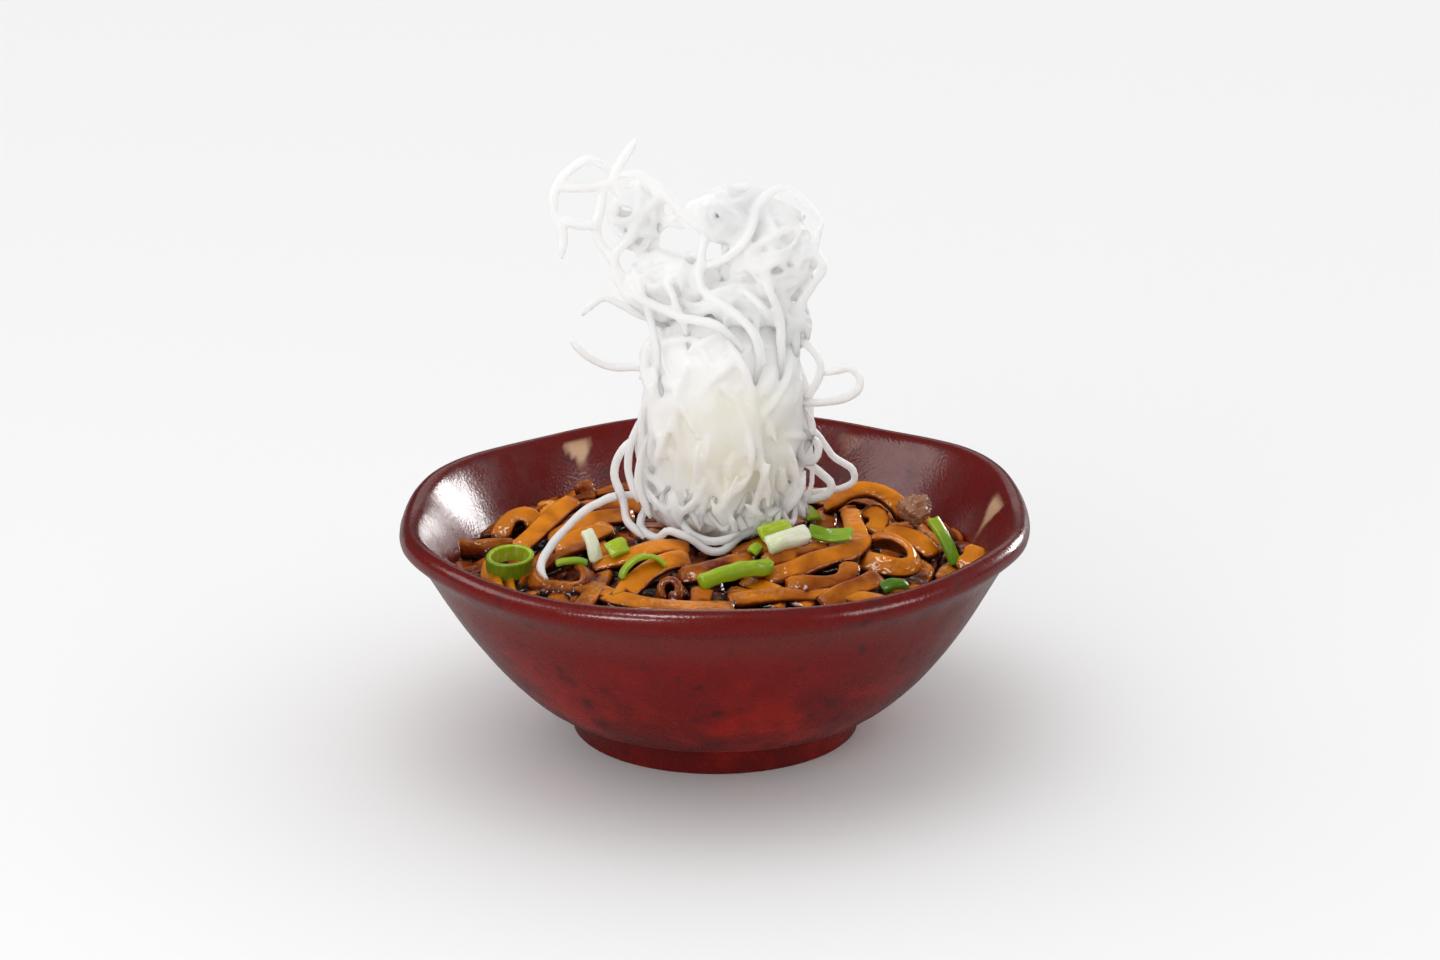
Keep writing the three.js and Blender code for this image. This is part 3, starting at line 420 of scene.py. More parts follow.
heap = {"middle": 56.5, "edge": 48.5, "radius": 78}
noodle = {
    "width": 6.2,
    "thickness": 3.2,
    "corner": 3.2,
    "step": 1.6,
    "sides": 14,
    "shadeReach": 6.0,
    "looseShade": 0.1,
}
behind = (0, 1000)
roundHeap = {  # the noodles that run round in the heap, as the CAD source draws them
    "seed": 11,
    "rings": (33, 49, 65),
    "scatter": (-3, 3),
    "skew": (60, 115),
    "length": (34, 50),
    "turn": (20, 90),
    "lean": (0, 35),
    "lifts": (-2, 0.9, -0.2, -1.5, 1.1, 1.5, 0.3, 2.4, -1.5, 0.7, -1.3,
              0.6, 0.9, 0.9, -1.1, -1.7, 0.9, -0.9, -0.3, -1.9, -1.7),
}
laidNoodles = [  # lean at each end, the point that the face leans from, and x, y and lift of each point
    (20, 20, behind, 3.7, -39.4, -1, 8.9, -42.5, -1, 14.1, -45.7, -1, 19.3, -47.1, -1),
    (25, 25, behind, 7.6, -35.2, 0.2, 13.1, -39.4, 0.2, 18.3, -42.4, 0, 23, -44.9, -0.4, 27.7, -46.2, -0.8),
    (40, 40, behind, -3.6, -43.6, 2, -4, -48.5, 0.6, -4.5, -51.2, -1.4),
    (60, 60, (-12, -43), -15.1, -45.5, -1.4, -15.4, -42.6, 0, -14.4, -41, 1.2, -12, -40.8, 1.8, -9.9, -42.1,
     1.6, -8.9, -44.3, 0.6, -10.2, -45.6, -0.4, -12.8, -45.4, -1),
    (60, 60, behind, -61.3, 16.5, 1.2, -57.8, 18.9, 1.8, -54.7, 23.5, 1.8, -51.4, 29.4, 1.2),
    (42, 42, behind, 28.7, -47.2, -0.2, 32.7, -44.9, 1.2, 37.7, -40.9, 2.2, 42.1, -36.4, 2.6, 45.4, -32.1,
     2.4),
    (62, 62, (-41, -28), -36.9, -13.9, 3.4, -40.1, -18.2, 3.6, -44.2, -22.4, 3.4, -48.1, -25.6, 2.6, -50.3,
     -27.7, 1.2, -48.7, -31.4, 0, -44.4, -33.7, -0.6, -39.5, -35.9, -0.6, -35.8, -36.7, 0.4, -34.7, -34.8,
     1.8, -35.5, -31.4, 2.6, -38, -28.2, 2.8),
    (78, 70, behind, -73.4, 4.5, 1.2, -68.2, 1.9, 1, -62.7, 1.8, 0.2, -57.1, 4.4, -1.2),
    (35, 35, behind, -49.4, 30.9, 3.8, -48.5, 21.5, 1.5),
    (50, 42, behind, -27.9, -48.7, -0.8, -24.8, -43.6, 1.2, -21.2, -39.1, 2.8, -17.2, -35.1, 4.2, -12.6,
     -31.6, 4.6, -7.4, -29, 4),
    (38, 34, behind, 19.2, -40.6, 1.8, 24.3, -41, 2.4, 29.4, -39.8, 2.2, 34.2, -37.2, 2.4, 36.7, -33.6, 3.4,
     37.1, -29.4, 4.4),
    (38, 38, behind, -45.2, -11.1, 1.7, -39.9, -8.8, 3.1, -34.6, -6, 3.7, -30.4, -0.2, 3.7),
    (35, 35, behind, -47.8, -1.4, 1.5, -41.9, 2.4, 2.5, -36.1, 6.5, 3.3, -29.5, 8.4, 3.5, -23.6, 10.5, 2.9),
    (35, 35, behind, -37.4, 13.5, 3.2, -31.9, 13.9, 4.2, -26.4, 15.2, 4.2, -20.9, 15.7, 3.6),
    (25, 25, behind, -62.2, 13.2, -2.7, -61.6, 14.6, 0.7, -59.5, 17.9, 3.3, -56.1, 18.2, 4.3, -53.3, 17.3,
     3.3, -51.9, 15.6, 0.7, -51.9, 14.8, -1.7),
    (24, 24, behind, -34.5, -27.1, 2.2, -30.2, -27.1, 3, -24.4, -26.2, 4, -18.6, -24.1, 4.8, -13.3, -22.7,
     5, -7.4, -22.2, 4.2),
    (40, 40, behind, 30.1, 19.9, 2, 31.7, 14.2, 2.4, 31.7, 8.2, 1.6, 30.6, 5, 0),
    (38, 38, behind, -10, -36.8, 2.2, -5.2, -36.9, 3.2, 0, -34.6, 3.8, 5.3, -32, 4, 11.1, -28.5, 3.4),
    (45, 38, behind, 11.1, -36.5, 0.6, 16, -35.6, 1.8, 21.2, -34.1, 3, 26.4, -30.3, 4.2, 31.8, -26.6, 4.8,
     37, -23.2, 5.2, 39.9, -18.8, 6, 40.9, -13.6, 7),
    (36, 36, behind, 5, -25.5, 3.2, 12, -23, 4.8, 19, -20, 5, 26, -15, 4.4, 30.5, -8, 3),
    (36, 30, behind, 68.3, -9.6, -1.7, 71.3, -8.8, 1.3, 73.9, -6, 3.5, 75.3, -4.5, 5.3),
    (30, 30, behind, 47.4, 3.4, 0.7, 50.8, 3.3, 2.5, 54.7, 1.1, 3.1, 58.1, -2.3, 2.7, 60.5, -4.9, 1.5, 61.9,
     -6.1, 0.1),
    (10, 10, behind, -40.8, 14.7, 3.4, -38.3, 14.7, 5, -35.2, 15.1, 5.4, -32.5, 15.1, 4.6, -30.6, 14.2,
     3.2),
    (30, 30, behind, -39, 36.9, 7.5, -38.4, 37.3, 4.5, -37.3, 35.4, 1),
    (58, 58, (49, -20), 40.3, -21, 2.6, 43.1, -23.4, 3, 47.6, -25.2, 3.2, 51.5, -25.7, 3.4, 54.6, -24, 3.8,
     55.6, -21.2, 4.6, 54.8, -18.6, 5.6, 51.9, -16.3, 6.4, 48.2, -14.7, 6.6, 44.5, -14.4, 5.8, 41.9, -14.8,
     4.4),
    (38, 38, behind, 13.2, -32.2, 4.2, 19, -29.9, 4.9, 25.4, -27.1, 5, 31, -19.3, 4.2),
    (38, 34, behind, -56.4, -5.4, 1, -52.3, -2, 3.4, -47.7, 4.4, 5.4, -43.5, 10.5, 7.2, -40.4, 14.4, 8),
    (35, 35, behind, 42.8, 13.2, 5.1, 45.4, 11.4, 5.5, 46.9, 9.6, 4.5, 46.2, 6.2, 3.1, 44.1, 3.7, 1.7),
    (60, 50, behind, 38.3, 3.2, 8, 38.7, -1.3, 7.2, 39.3, -6.8, 6.4, 40.3, -11, 5.4, 41.4, -14, 3.8),
    (28, 32, behind, 32, 16.1, 3.2, 34, 14.1, 7, 37.6, 15.1, 9.6, 42.4, 16.2, 10.8, 47, 15.3, 10.8, 50.9,
     13.5, 9.4, 53.3, 11.9, 7.2, 54.2, 11.3, 4.6),
]


def heapTop(x, y):
    share = min(1, math.hypot(x, y) / heap["radius"])
    return heap["middle"] - (heap["middle"] - heap["edge"]) * share * share


def innerRadius(x, y, z):  # of the bowl's inner wall at a height, on the side of x, y
    share = clamp((z - bowl["ridge"][1] - 1.5) / (bowl["underLip"][1] - bowl["ridge"][1]), 0.02, 0.98)
    return innerWall(share, bowl["wall"]).x + rimWave(math.atan2(y, x), z)[0]


def leaningNormals(path, about, leans):  # the side that a noodle faces, at each slice
    about = Vector((*about, 0))
    normals = []
    for k, (point, tangent) in enumerate(zip(path, directions(path))):
        lean = math.radians(leans[0] + (leans[1] - leans[0]) * k / (len(path) - 1))
        out = point - about
        out.z = 0
        face = out.normalized() * math.sin(lean) + Vector((0, 0, math.cos(lean)))
        normals.append((face - tangent * face.dot(tangent)).normalized())
    return normals


def laidPath(spots):  # points are kept clear of the bowl's wall by half a noodle
    path = throughPoints([Vector((x, y, heapTop(x, y) + lift)) for x, y, lift in spots], noodle["step"])
    for point in path:
        room = innerRadius(point.x, point.y, point.z) - 3.0
        inside = min(1, room / max(math.hypot(point.x, point.y), 1))
        point.x, point.y = point.x * inside, point.y * inside
    return path


def seeded(state):  # the repeatable numbers from 0 to 1 that the CAD source draws
    word = 0xffffffff
    while True:
        state = (state + 0x6d2b79f5) & word
        mixed = (state ^ state >> 15) * (1 | state) & word
        mixed = (mixed + ((mixed ^ mixed >> 7) * (61 | mixed)) & word) ^ mixed
        yield (mixed ^ mixed >> 14) / (word + 1)


def noodlesRound():  # follows the CAD source's loop, whose other draws are taken and left
    numbers = seeded(roundHeap["seed"])

    def pick(name):
        low, high = roundHeap[name]
        return low + (high - low) * next(numbers)

    rows, corners = [], 5
    for i, lift in enumerate(roundHeap["lifts"]):
        angle = 360 * i / len(roundHeap["lifts"])
        radius = roundHeap["rings"][i % 3] + pick("scatter")
        next(numbers)
        x, y = radius * math.cos(math.radians(angle)), radius * math.sin(math.radians(angle))
        heading = angle + pick("skew")
        step = pick("length") / (corners - 1)
        turn = pick("turn") * (1 if i % 4 else -0.6)
        spots = []
        for k in range(corners):
            spots.append((round(x, 1), round(y, 1), lift))
            way = math.radians(heading + turn * (k + 0.5) / (corners - 1))
            x, y = x + step * math.cos(way), y + step * math.sin(way)
        lean = round(pick("lean"))
        rows.append(((lean, lean), (0, 0), spots))
    return rows


def pileNoodles():
    laid = noodlesRound()
    for first, last, about, *flat in laidNoodles:
        laid.append(((first, last), about, zip(flat[::3], flat[1::3], flat[2::3])))
    paths = [(laidPath(spots), about, leans) for leans, about, spots in laid]
    return [(path, leaningNormals(path, about, leans)) for path, about, leans in paths]


# The noodles between and under those, let settle as chains of beads

loose = {
    "seed": 4,
    "count": 120,
    "length": (60, 120),
    "spacing": 3.0,
    "depths": (7.4, 5.4, 3.4, 1.6),
    "reach": 74,
    "turnAt": 68,
    "beadWidth": 5.4,
    "flatness": 1.5,
    "rounds": 70,
    "fall": 0.1,
    "clear": 1.9,
    "sauceDepth": 8.4,
}
goldenAngle = 2.39996


def looseStart():
    draws = random.Random(loose["seed"])
    chains = []
    for i in range(loose["count"]):
        depth = loose["depths"][i % len(loose["depths"])]
        angle = i * goldenAngle
        reach = loose["reach"] * math.sqrt((i + 0.5) / loose["count"])
        length = draws.uniform(*loose["length"])
        bend = math.radians(draws.uniform(1, 6)) * draws.choice((-1, 1))
        heading = draws.uniform(0, 2 * math.pi)
        at = Vector((reach * math.cos(angle), reach * math.sin(angle), 0))
        chain = []
        for _ in range(int(length / loose["spacing"])):
            if math.hypot(at.x, at.y) > loose["turnAt"]:  # turn along the wall, and then in
                inward = math.atan2(-at.y, -at.x)
                off = (inward - heading + math.pi) % (2 * math.pi) - math.pi
                heading += clamp(off, -0.5, 0.5)
            heading += bend * draws.uniform(0.4, 1.6)
            at = at + Vector((math.cos(heading), math.sin(heading), 0)) * loose["spacing"]
            chain.append((at.x, at.y, heapTop(at.x, at.y) - depth))
        chains.append(chain)
    return chains


def ceilingOver(cells, toppings):  # how high a bead may lie at each cell of a 2 mm grid
    grid = np.zeros((cells, cells))
    for i in range(cells):
        for j in range(cells):
            x, y = 2 * i - cells + 1, 2 * j - cells + 1
            under = toppings.ray_cast(Vector((x, y, 30)), Vector((0, 0, 1)))[0]
            openAir = heapTop(x, y) + 0.4
            grid[i, j] = min(openAir, under.z - 0.2 if under else openAir) - loose["clear"]
    return grid


def touching(spots, number, count):  # pairs of beads near each other that aren't neighbours on a chain
    near = KDTree(len(spots))
    for i, spot in enumerate(spots):
        near.insert(spot, i)
    near.balance()
    found = []
    for i in range(count):
        for _, j, _ in near.find_range(spots[i], loose["beadWidth"] * 1.15):
            if j > i and (number[i] != number[j] or j - i > 3):
                found.append((i, j))
    return np.array(found, int).reshape(-1, 2)


def settle(chains, fixed, toppings):
    place = np.array([p for chain in chains for p in chain])
    count = len(place)
    spots = np.concatenate([place, fixed])
    owners = [[i] * len(chain) for i, chain in enumerate(chains)]
    number = np.concatenate([*owners, [-1] * len(fixed)])
    flat = np.array([1, 1, loose["flatness"]])
    cells = 90
    ceiling = ceilingOver(cells, toppings)
    linked = [np.nonzero(number[:count - gap] == number[gap:count])[0] for gap in (1, 2)]
    rests = [np.linalg.norm(place[a + gap] - place[a], axis=1) for gap, a in zip((1, 2), linked)]
    for turn in range(loose["rounds"]):
        if turn % 6 == 0:
            pairs = touching(spots * flat, number, count)
        spots[:count, 2] -= loose["fall"]
        for gap, stiff in ((1, 0.5), (2, 0.25), (1, 0.5)):  # keeps each chain's length, and its stiffness
            a = linked[gap - 1]
            apart = spots[a + gap] - spots[a]
            span = np.linalg.norm(apart, axis=1)
            push = apart * (stiff * (span - rests[gap - 1]) / np.maximum(span, 0.01))[:, None]
            np.add.at(spots, a, push)
            np.add.at(spots, a + gap, -push)
        apart = (spots[pairs[:, 1]] - spots[pairs[:, 0]]) * flat
        span = np.linalg.norm(apart, axis=1)
        tooNear = span < loose["beadWidth"]
        a, b = pairs[tooNear].T
        push = 0.3 * (span[tooNear] - loose["beadWidth"]) / np.maximum(span[tooNear], 0.1)
        push = apart[tooNear] * push[:, None]
        np.add.at(spots, a, push / flat)
        free = b < count
        np.add.at(spots, b[free], -push[free] / flat)
        x, y = spots[:count, 0], spots[:count, 1]
        radius = np.hypot(x, y)
        limit = 73.5 + (spots[:count, 2] - 50) * 0.55  # the bowl's inner wall, less half a noodle
        inside = np.minimum(1, limit / np.maximum(radius, 1))
        spots[:count, 0] *= inside
        spots[:count, 1] *= inside
        i, j = (np.clip(((side + cells) / 2).astype(int), 0, cells - 1) for side in (x, y))
        share = np.minimum(1, radius / heap["radius"])
        floor = heap["middle"] - (heap["middle"] - heap["edge"]) * share ** 2 - loose["sauceDepth"] + 0.4
        spots[:count, 2] = np.clip(spots[:count, 2], floor, np.maximum(ceiling[i, j], floor))
    return [[Vector(p) for p in spots[:count][number[:count] == i]] for i in range(len(chains))]


def rolledNormals(path, rolls):  # face up, and turned about the path by a roll at each slice
    up, normals = Vector((0, 0, 1)), []
    for tangent, roll in zip(directions(path), rolls):
        level = (up - tangent * up.dot(tangent)).normalized()
        normals.append(Matrix.Rotation(math.radians(roll), 3, tangent) @ level)
    return normals


def noodleSection(draws):  # a flat section with round corners, a little uneven along the noodle
    power = 2 / noodle["corner"]
    width, thickness = draws.uniform(0.9, 1.04), draws.uniform(0.88, 1.06)
    drift = draws.uniform(0, 50)

    def section(share, angle):
        end = 0.72 + 0.28 * smoothStep(min(share, 1 - share), 0, 0.03)
        uneven = end * (1 + 0.06 * math.sin(drift + 9 * share))
        c, s = math.cos(angle), math.sin(angle)
        out = math.copysign(abs(c) ** power, c) * noodle["thickness"] / 2 * thickness
        side = math.copysign(abs(s) ** power, s) * noodle["width"] / 2 * width
        dish = 0.16 * (1 - (2 * side / noodle["width"]) ** 2)  # the faces are a little hollow
        return (out - math.copysign(dish, out)) * uneven, side * uneven

    return section


def paintShadeAndSauce(bm):  # painted shade and some sauce where noodles lie close over or beside each other
    depth = bm.verts.layers.float["depth"]
    bm.normal_update()
    tree = BVHTree.FromBMesh(bm)
    for vert in bm.verts:
        normal = vert.normal
        side = normal.orthogonal().normalized()
        other = normal.cross(side)
        start, near = vert.co + normal * 0.25, 0.0
        for along, across, out in ((0, 0, 1), (0.8, 0, 0.6), (-0.8, 0, 0.6), (0, 0.8, 0.6), (0, -0.8, 0.6)):
            span = tree.ray_cast(start, normal * out + side * along + other * across, noodle["shadeReach"])[3]
            near += 1 - span / noodle["shadeReach"] if span is not None else 0
        under = clamp(0.5 - normal.z)  # and painted shade on faces turned down or aside
        vert[depth] = clamp(vert[depth] + 0.36 * near + 0.7 * under)


def makeNoodles(material):
    toppings = nodeTree(*[n for n in frame["nodes"] if n not in ("bowl", "noodles")])
    laid = pileNoodles()
    fixed = []
    for path, normals in laid:
        across = [t.cross(n) for t, n in zip(directions(path), normals)]
        for k in range(0, len(path), 2):
            fixed += [tuple(path[k] + across[k] * side) for side in (-1.8, 1.8)]
    chains = settle(looseStart(), np.array(fixed), toppings)
    bm = bmesh.new()
    vertLayers(bm, "tone", "depth")
    draws = random.Random(2)

    # depth under the heap's top darkens the noodles: partly deeper sauce, partly painted shade
    def depthAt(place):
        return clamp((heapTop(place.x, place.y) - place.z + 1.0) / 7)

    # loose noodles lie in the gaps and are darkened a little more: painted shade
    def looseShadedDepth(place):
        return clamp(depthAt(place) + noodle["looseShade"])

    for i, (path, normals) in enumerate(laid):
        # the round noodles take a darker range of tone: partly their own tone, partly painted shade
        paleness = (0.1, 0.6) if i < len(roundHeap["lifts"]) else (0.16, 1)
        marks = {"tone": draws.uniform(*paleness), "depth": depthAt}
        bendTube(bm, path, normals, noodleSection(draws), noodle["sides"], marks)
    for chain in chains:
        path = throughPoints(chain, noodle["step"] * 1.2)
        roll, twist, wave = draws.uniform(-28, 28), draws.uniform(-30, 30), draws.uniform(0, 6)
        rolls = [roll + twist * math.sin(wave + 5 * k / len(path)) for k in range(len(path))]
        marks = {"tone": draws.uniform(0, 0.8), "depth": looseShadedDepth}
        bendTube(bm, path, rolledNormals(path, rolls), noodleSection(draws), 10, marks)
    paintShadeAndSauce(bm)
    finishPiece(bm, "saucedNoodles", material, ["noodles"])


def makeSauce(material):  # the dark sauce that the noodles lie in, which reaches just into the wall
    wall = [innerWall(0.06 + 0.86 * i / 20, bowl["wall"] - 0.4) for i in range(20)]
    wall = [tuple(p) for p in wall if p.y < heap["edge"] - loose["sauceDepth"]]
    edge = wall[-1][0] + 0.6
    top = [(edge * (1 - i / 40), 50) for i in range(41)]
    bm = spunFrom([(0, bowl["floor"] - 0.4), *wall, *top], 160)
    for vert in bm.verts:
        x, y, z = vert.co
        if z > 49:
            swirl = swells(x, y, 7, 9) * 1.3 + swells(x, y, 3, 3.5) * 0.4
            vert.co.z = heapTop(x, y) - loose["sauceDepth"] + 1.2 + swirl
    waved(bm)
    finishPiece(bm, "brownSauce", material, ["noodles"])


def saucedNoodle():
    # Boiled wheat noodle, rolled and cut, coated in thickened soy sauce: amber and a little clear where
    # the light comes through, with a wet skin that glints. It is darker deep in the heap, close under and
    # beside other noodles and on faces turned down: partly gathered sauce, partly painted shade.
    material, tree, place = newMaterial("soyGlazedWheatNoodle")
    tone = addNode(tree, "ShaderNodeAttribute", attribute_name="tone")
    depth = addNode(tree, "ShaderNodeAttribute", attribute_name="depth")
    stains = addNode(tree, "ShaderNodeTexNoise", {"Vector": place, "Scale": 1 / 8, "Detail": 1.5})
    paleness = addNode(tree, "ShaderNodeMath", {0: tone.outputs["Fac"], 1: 0.6, 2: stains.outputs["Fac"]},
                       operation="MULTIPLY_ADD")
    sauceLayers = [  # what each layer follows, where it starts and is full, its most, and its colour
        (paleness.outputs[0], 0.4, 0.98, 1, "#fb960e"),
        # by depth, which holds painted shade in gaps and on undersides as well as deeper sauce
        (depth.outputs["Fac"], 0.08, 0.42, 0.9, "#8d2c02"),
        (depth.outputs["Fac"], 0.34, 0.8, 1, "#2c0a02"),
    ]
    sauced = colour("#7c2602")
    for source, start, full, most, code in sauceLayers:
        share = addNode(tree, "ShaderNodeMapRange", {
            "Value": source, "From Min": start, "From Max": full, "To Max": most})
        sauced = addNode(tree, "ShaderNodeMix", {"Factor": share.outputs[0], "A": sauced, "B": colour(code)},
                         data_type="RGBA").outputs[2]
    wrinkles = addNode(tree, "ShaderNodeTexNoise", {"Vector": place, "Scale": 1 / 1.3, "Detail": 3})
    fine = addNode(tree, "ShaderNodeBump", {
        "Height": wrinkles.outputs["Fac"], "Distance": 0.00012, "Strength": 0.25})
    beads = addNode(tree, "ShaderNodeTexNoise", {"Vector": place, "Scale": 1 / 2.6, "Detail": 1})
    wet = addNode(tree, "ShaderNodeBump", {
        "Height": beads.outputs["Fac"], "Distance": 0.0008, "Strength": 0.75,
        "Normal": fine.outputs["Normal"]})
    shader = addNode(tree, "ShaderNodeBsdfPrincipled", {
        "Base Color": sauced, "Roughness": 0.3, "Specular IOR Level": 0.2, "Subsurface Weight": 0.25,
        "Subsurface Radius": (1.0, 0.42, 0.12), "Subsurface Scale": 0.0013, "Coat Weight": 1.0,
        "Coat Roughness": 0.045, "Coat IOR": 1.42, "Normal": wet.outputs["Normal"],
        "Coat Normal": wet.outputs["Normal"]})
    addNode(tree, "ShaderNodeOutputMaterial", {"Surface": shader.outputs[0]})
    return material


def brownSauce():
    # Soy sauce thickened with starch: near black where it is deep, with a smooth, wet surface.
    material, tree, place = newMaterial("thickenedSoySauce")
    swirls = addNode(tree, "ShaderNodeTexNoise", {"Vector": place, "Scale": 1 / 5, "Detail": 3})
    brown = addNode(tree, "ShaderNodeMix", {
        "Factor": swirls.outputs["Fac"], "A": colour("#160602"), "B": colour("#3d1a07")}, data_type="RGBA")
    ripples = addNode(tree, "ShaderNodeBump", {
        "Height": swirls.outputs["Fac"], "Distance": 0.0008, "Strength": 0.5})
    shader = addNode(tree, "ShaderNodeBsdfPrincipled", {
        "Base Color": brown.outputs[2], "Roughness": 0.14, "IOR": 1.42, "Normal": ripples.outputs["Normal"]})
    addNode(tree, "ShaderNodeOutputMaterial", {"Surface": shader.outputs[0]})
    return material


makeNoodles(saucedNoodle())
makeSauce(brownSauce())
print("noodles made")


# Scallion: rings and strips of leaf and stalk, each over its CAD node

scallions = {  # length, width, thickness, bend, turns about X, Y and Z, and the tone at each end
    "scallion_white_left": ((9.5, 3.9, 1.6, 50), (90, 58, -54), (-0.02, 0.02)),
    "scallion_lime_left": ((6, 5.2, 1.8, 30), (125, -12, 30), (0.22, 0.28)),
    "scallion_sliver_left": ((9, 2.8, 1.2, 50), (100, 0, 5), (0.3, 0.5)),
    "scallion_arch_front": ((17, 3, 1.2, 130), (82, -8, 24), (0.32, 0.26)),
    "scallion_roll_front": ((22, 4.2, 3.6, 24), (90, -4, 24), (0.3, 0.36)),
    "scallion_crumb_front": ((6, 3.2, 1.6, 80), (120, 0, 70), (0.32, 0.4)),
    "scallion_white_block": ((13, 5.4, 3.2, 14), (128, -8, 26), (0.04, -0.04)),
    "scallion_lime_block": ((9.5, 4.8, 3, 24), (128, -8, 24), (0.24, 0.2)),
    "scallion_leaf_right": ((8, 6, 1.4, 50), (120, 16, 50), (0.34, 0.3)),
    "scallion_strip_right": ((13, 4.4, 1.4, 64), (-55, 0, -12), (0.42, 0.38)),
    "scallion_stick_right": ((15, 4.2, 1.6, 20), (90, 52, -44), (0.3, 0.55)),
    "scallion_tuft_right": ((8, 4, 1.6, 70), (110, 0, 20), (0.7, 0.6)),
    "scallion_strip_back": ((14, 4.5, 1.5, 40), (80, 0, 150), (0.5, 0.34)),
    "scallion_white_back": ((9, 5, 3, 24), (60, 0, 100), (-0.02, 0.05)),
}
scallionRings = {  # width, height, wall and length, the turns and the tone inside and out
    "scallion_ring_left": ((13, 11, 1.3, 5.4), (14, 0, 14), (0.2, 0.42)),
    "scallion_ring_back": ((10, 8, 1.2, 5), (20, 12, 40), (0.2, 0.45)),
}


def turnedTo(bm, turns, node):  # turns a piece and puts the middle of its box on its CAD node's
    about = [Matrix.Rotation(math.radians(angle), 3, axis) for angle, axis in zip(turns, "XYZ")]
    bmesh.ops.rotate(bm, matrix=about[2] @ about[1] @ about[0], cent=(0, 0, 0), verts=bm.verts)
    low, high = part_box(node)
    corners = np.array([v.co for v in bm.verts])
    middle = Vector((corners.min(0) + corners.max(0)) / 2)
    bmesh.ops.translate(bm, vec=(low + high) / (2 * mm) - middle, verts=bm.verts)


def sliceAt(bm, points, normal):
    for point in points:
        geom = [*bm.verts, *bm.edges, *bm.faces]
        bmesh.ops.bisect_plane(bm, geom=geom, plane_co=point, plane_no=normal, dist=0.001)


def makeStrip(node, material):
    (length, width, thickness, bend), turns, tones = scallions[node]
    bm = bmesh.new()
    bmesh.ops.create_cube(bm, size=1)
    bmesh.ops.scale(bm, vec=(length, thickness, width), verts=bm.verts)
    roundEdges(bm, list(bm.edges), 0.32 * thickness, 3)
    for axis, extent, cuts in ((0, length, 26), (2, width, 8)):
        normal = Vector((axis == 0, 0, axis == 2))
        sliceAt(bm, [normal * extent * (i / cuts - 0.5) for i in range(1, cuts)], normal)
    tone, along, across = vertLayers(bm, "tone", "along", "across")
    radius = length / math.radians(bend)
    seed = sum(map(ord, node))
    for vert in bm.verts:
        x, y, z = vert.co
        share = x / length + 0.5
        vert[tone] = tones[0] + (tones[1] - tones[0]) * share
        vert[along], vert[across] = x, z
        z *= 1 + 0.1 * swells(x / 5, seed, 0)
        x += 0.5 * swells(z / 2, seed, y) * (abs(2 * share - 1) > 0.8)
        y += 0.16 * thickness * swells(x / 3, z / 2, seed)
        y -= 0.3 * thickness * (2 * z / width) ** 2  # cupped, as the leaf's half tube is
        angle = x / radius
        vert.co = (radius + y) * Vector((math.sin(angle), math.cos(angle), 0)) + Vector((0, 0, z))
    turnedTo(bm, turns, node)
    finishPiece(bm, node + "Cut", material, [node])


def makeRing(node, material):
    (wide, tall, wall, length), turns, tones = scallionRings[node]
    bm = bmesh.new()
    for less in (0, wall):
        ring = bmesh.ops.create_circle(bm, segments=48, radius=1)["verts"]
        bmesh.ops.scale(bm, vec=(wide / 2 - less, tall / 2 - less, 1), verts=ring)
    bridged = bmesh.ops.bridge_loops(bm, edges=list(bm.edges))["faces"]
    raised = bmesh.ops.extrude_face_region(bm, geom=bridged)["geom"]
    upper = [g for g in raised if isinstance(g, bmesh.types.BMVert)]
    bmesh.ops.translate(bm, vec=(0, 0, length), verts=upper)
    bmesh.ops.recalc_face_normals(bm, faces=bm.faces)
    roundEdges(bm, [e for e in bm.edges if e.calc_face_angle(0) > 1], 0.3 * wall, 2)
    sliceAt(bm, [(0, 0, length * i / 7) for i in range(1, 7)], (0, 0, 1))
    tone, along, across = vertLayers(bm, "tone", "along", "across")
    for vert in bm.verts:
        x, y, z = vert.co
        angle = math.atan2(y, x)
        out = math.hypot(x / (wide / 2 - wall / 2), y / (tall / 2 - wall / 2)) > 1
        vert[tone] = tones[1] if out else tones[0]
        vert[along], vert[across] = z, angle * wide / 2
        sway = 1 + 0.05 * math.sin(2 * angle + z / 3) + 0.05 * swells(x / 4, y / 4, z / 5)
        vert.co = (x * sway, y * sway, z + 0.4 * math.sin(angle + 1))
    turnedTo(bm, turns, node)
    finishPiece(bm, node + "Cut", material, [node])


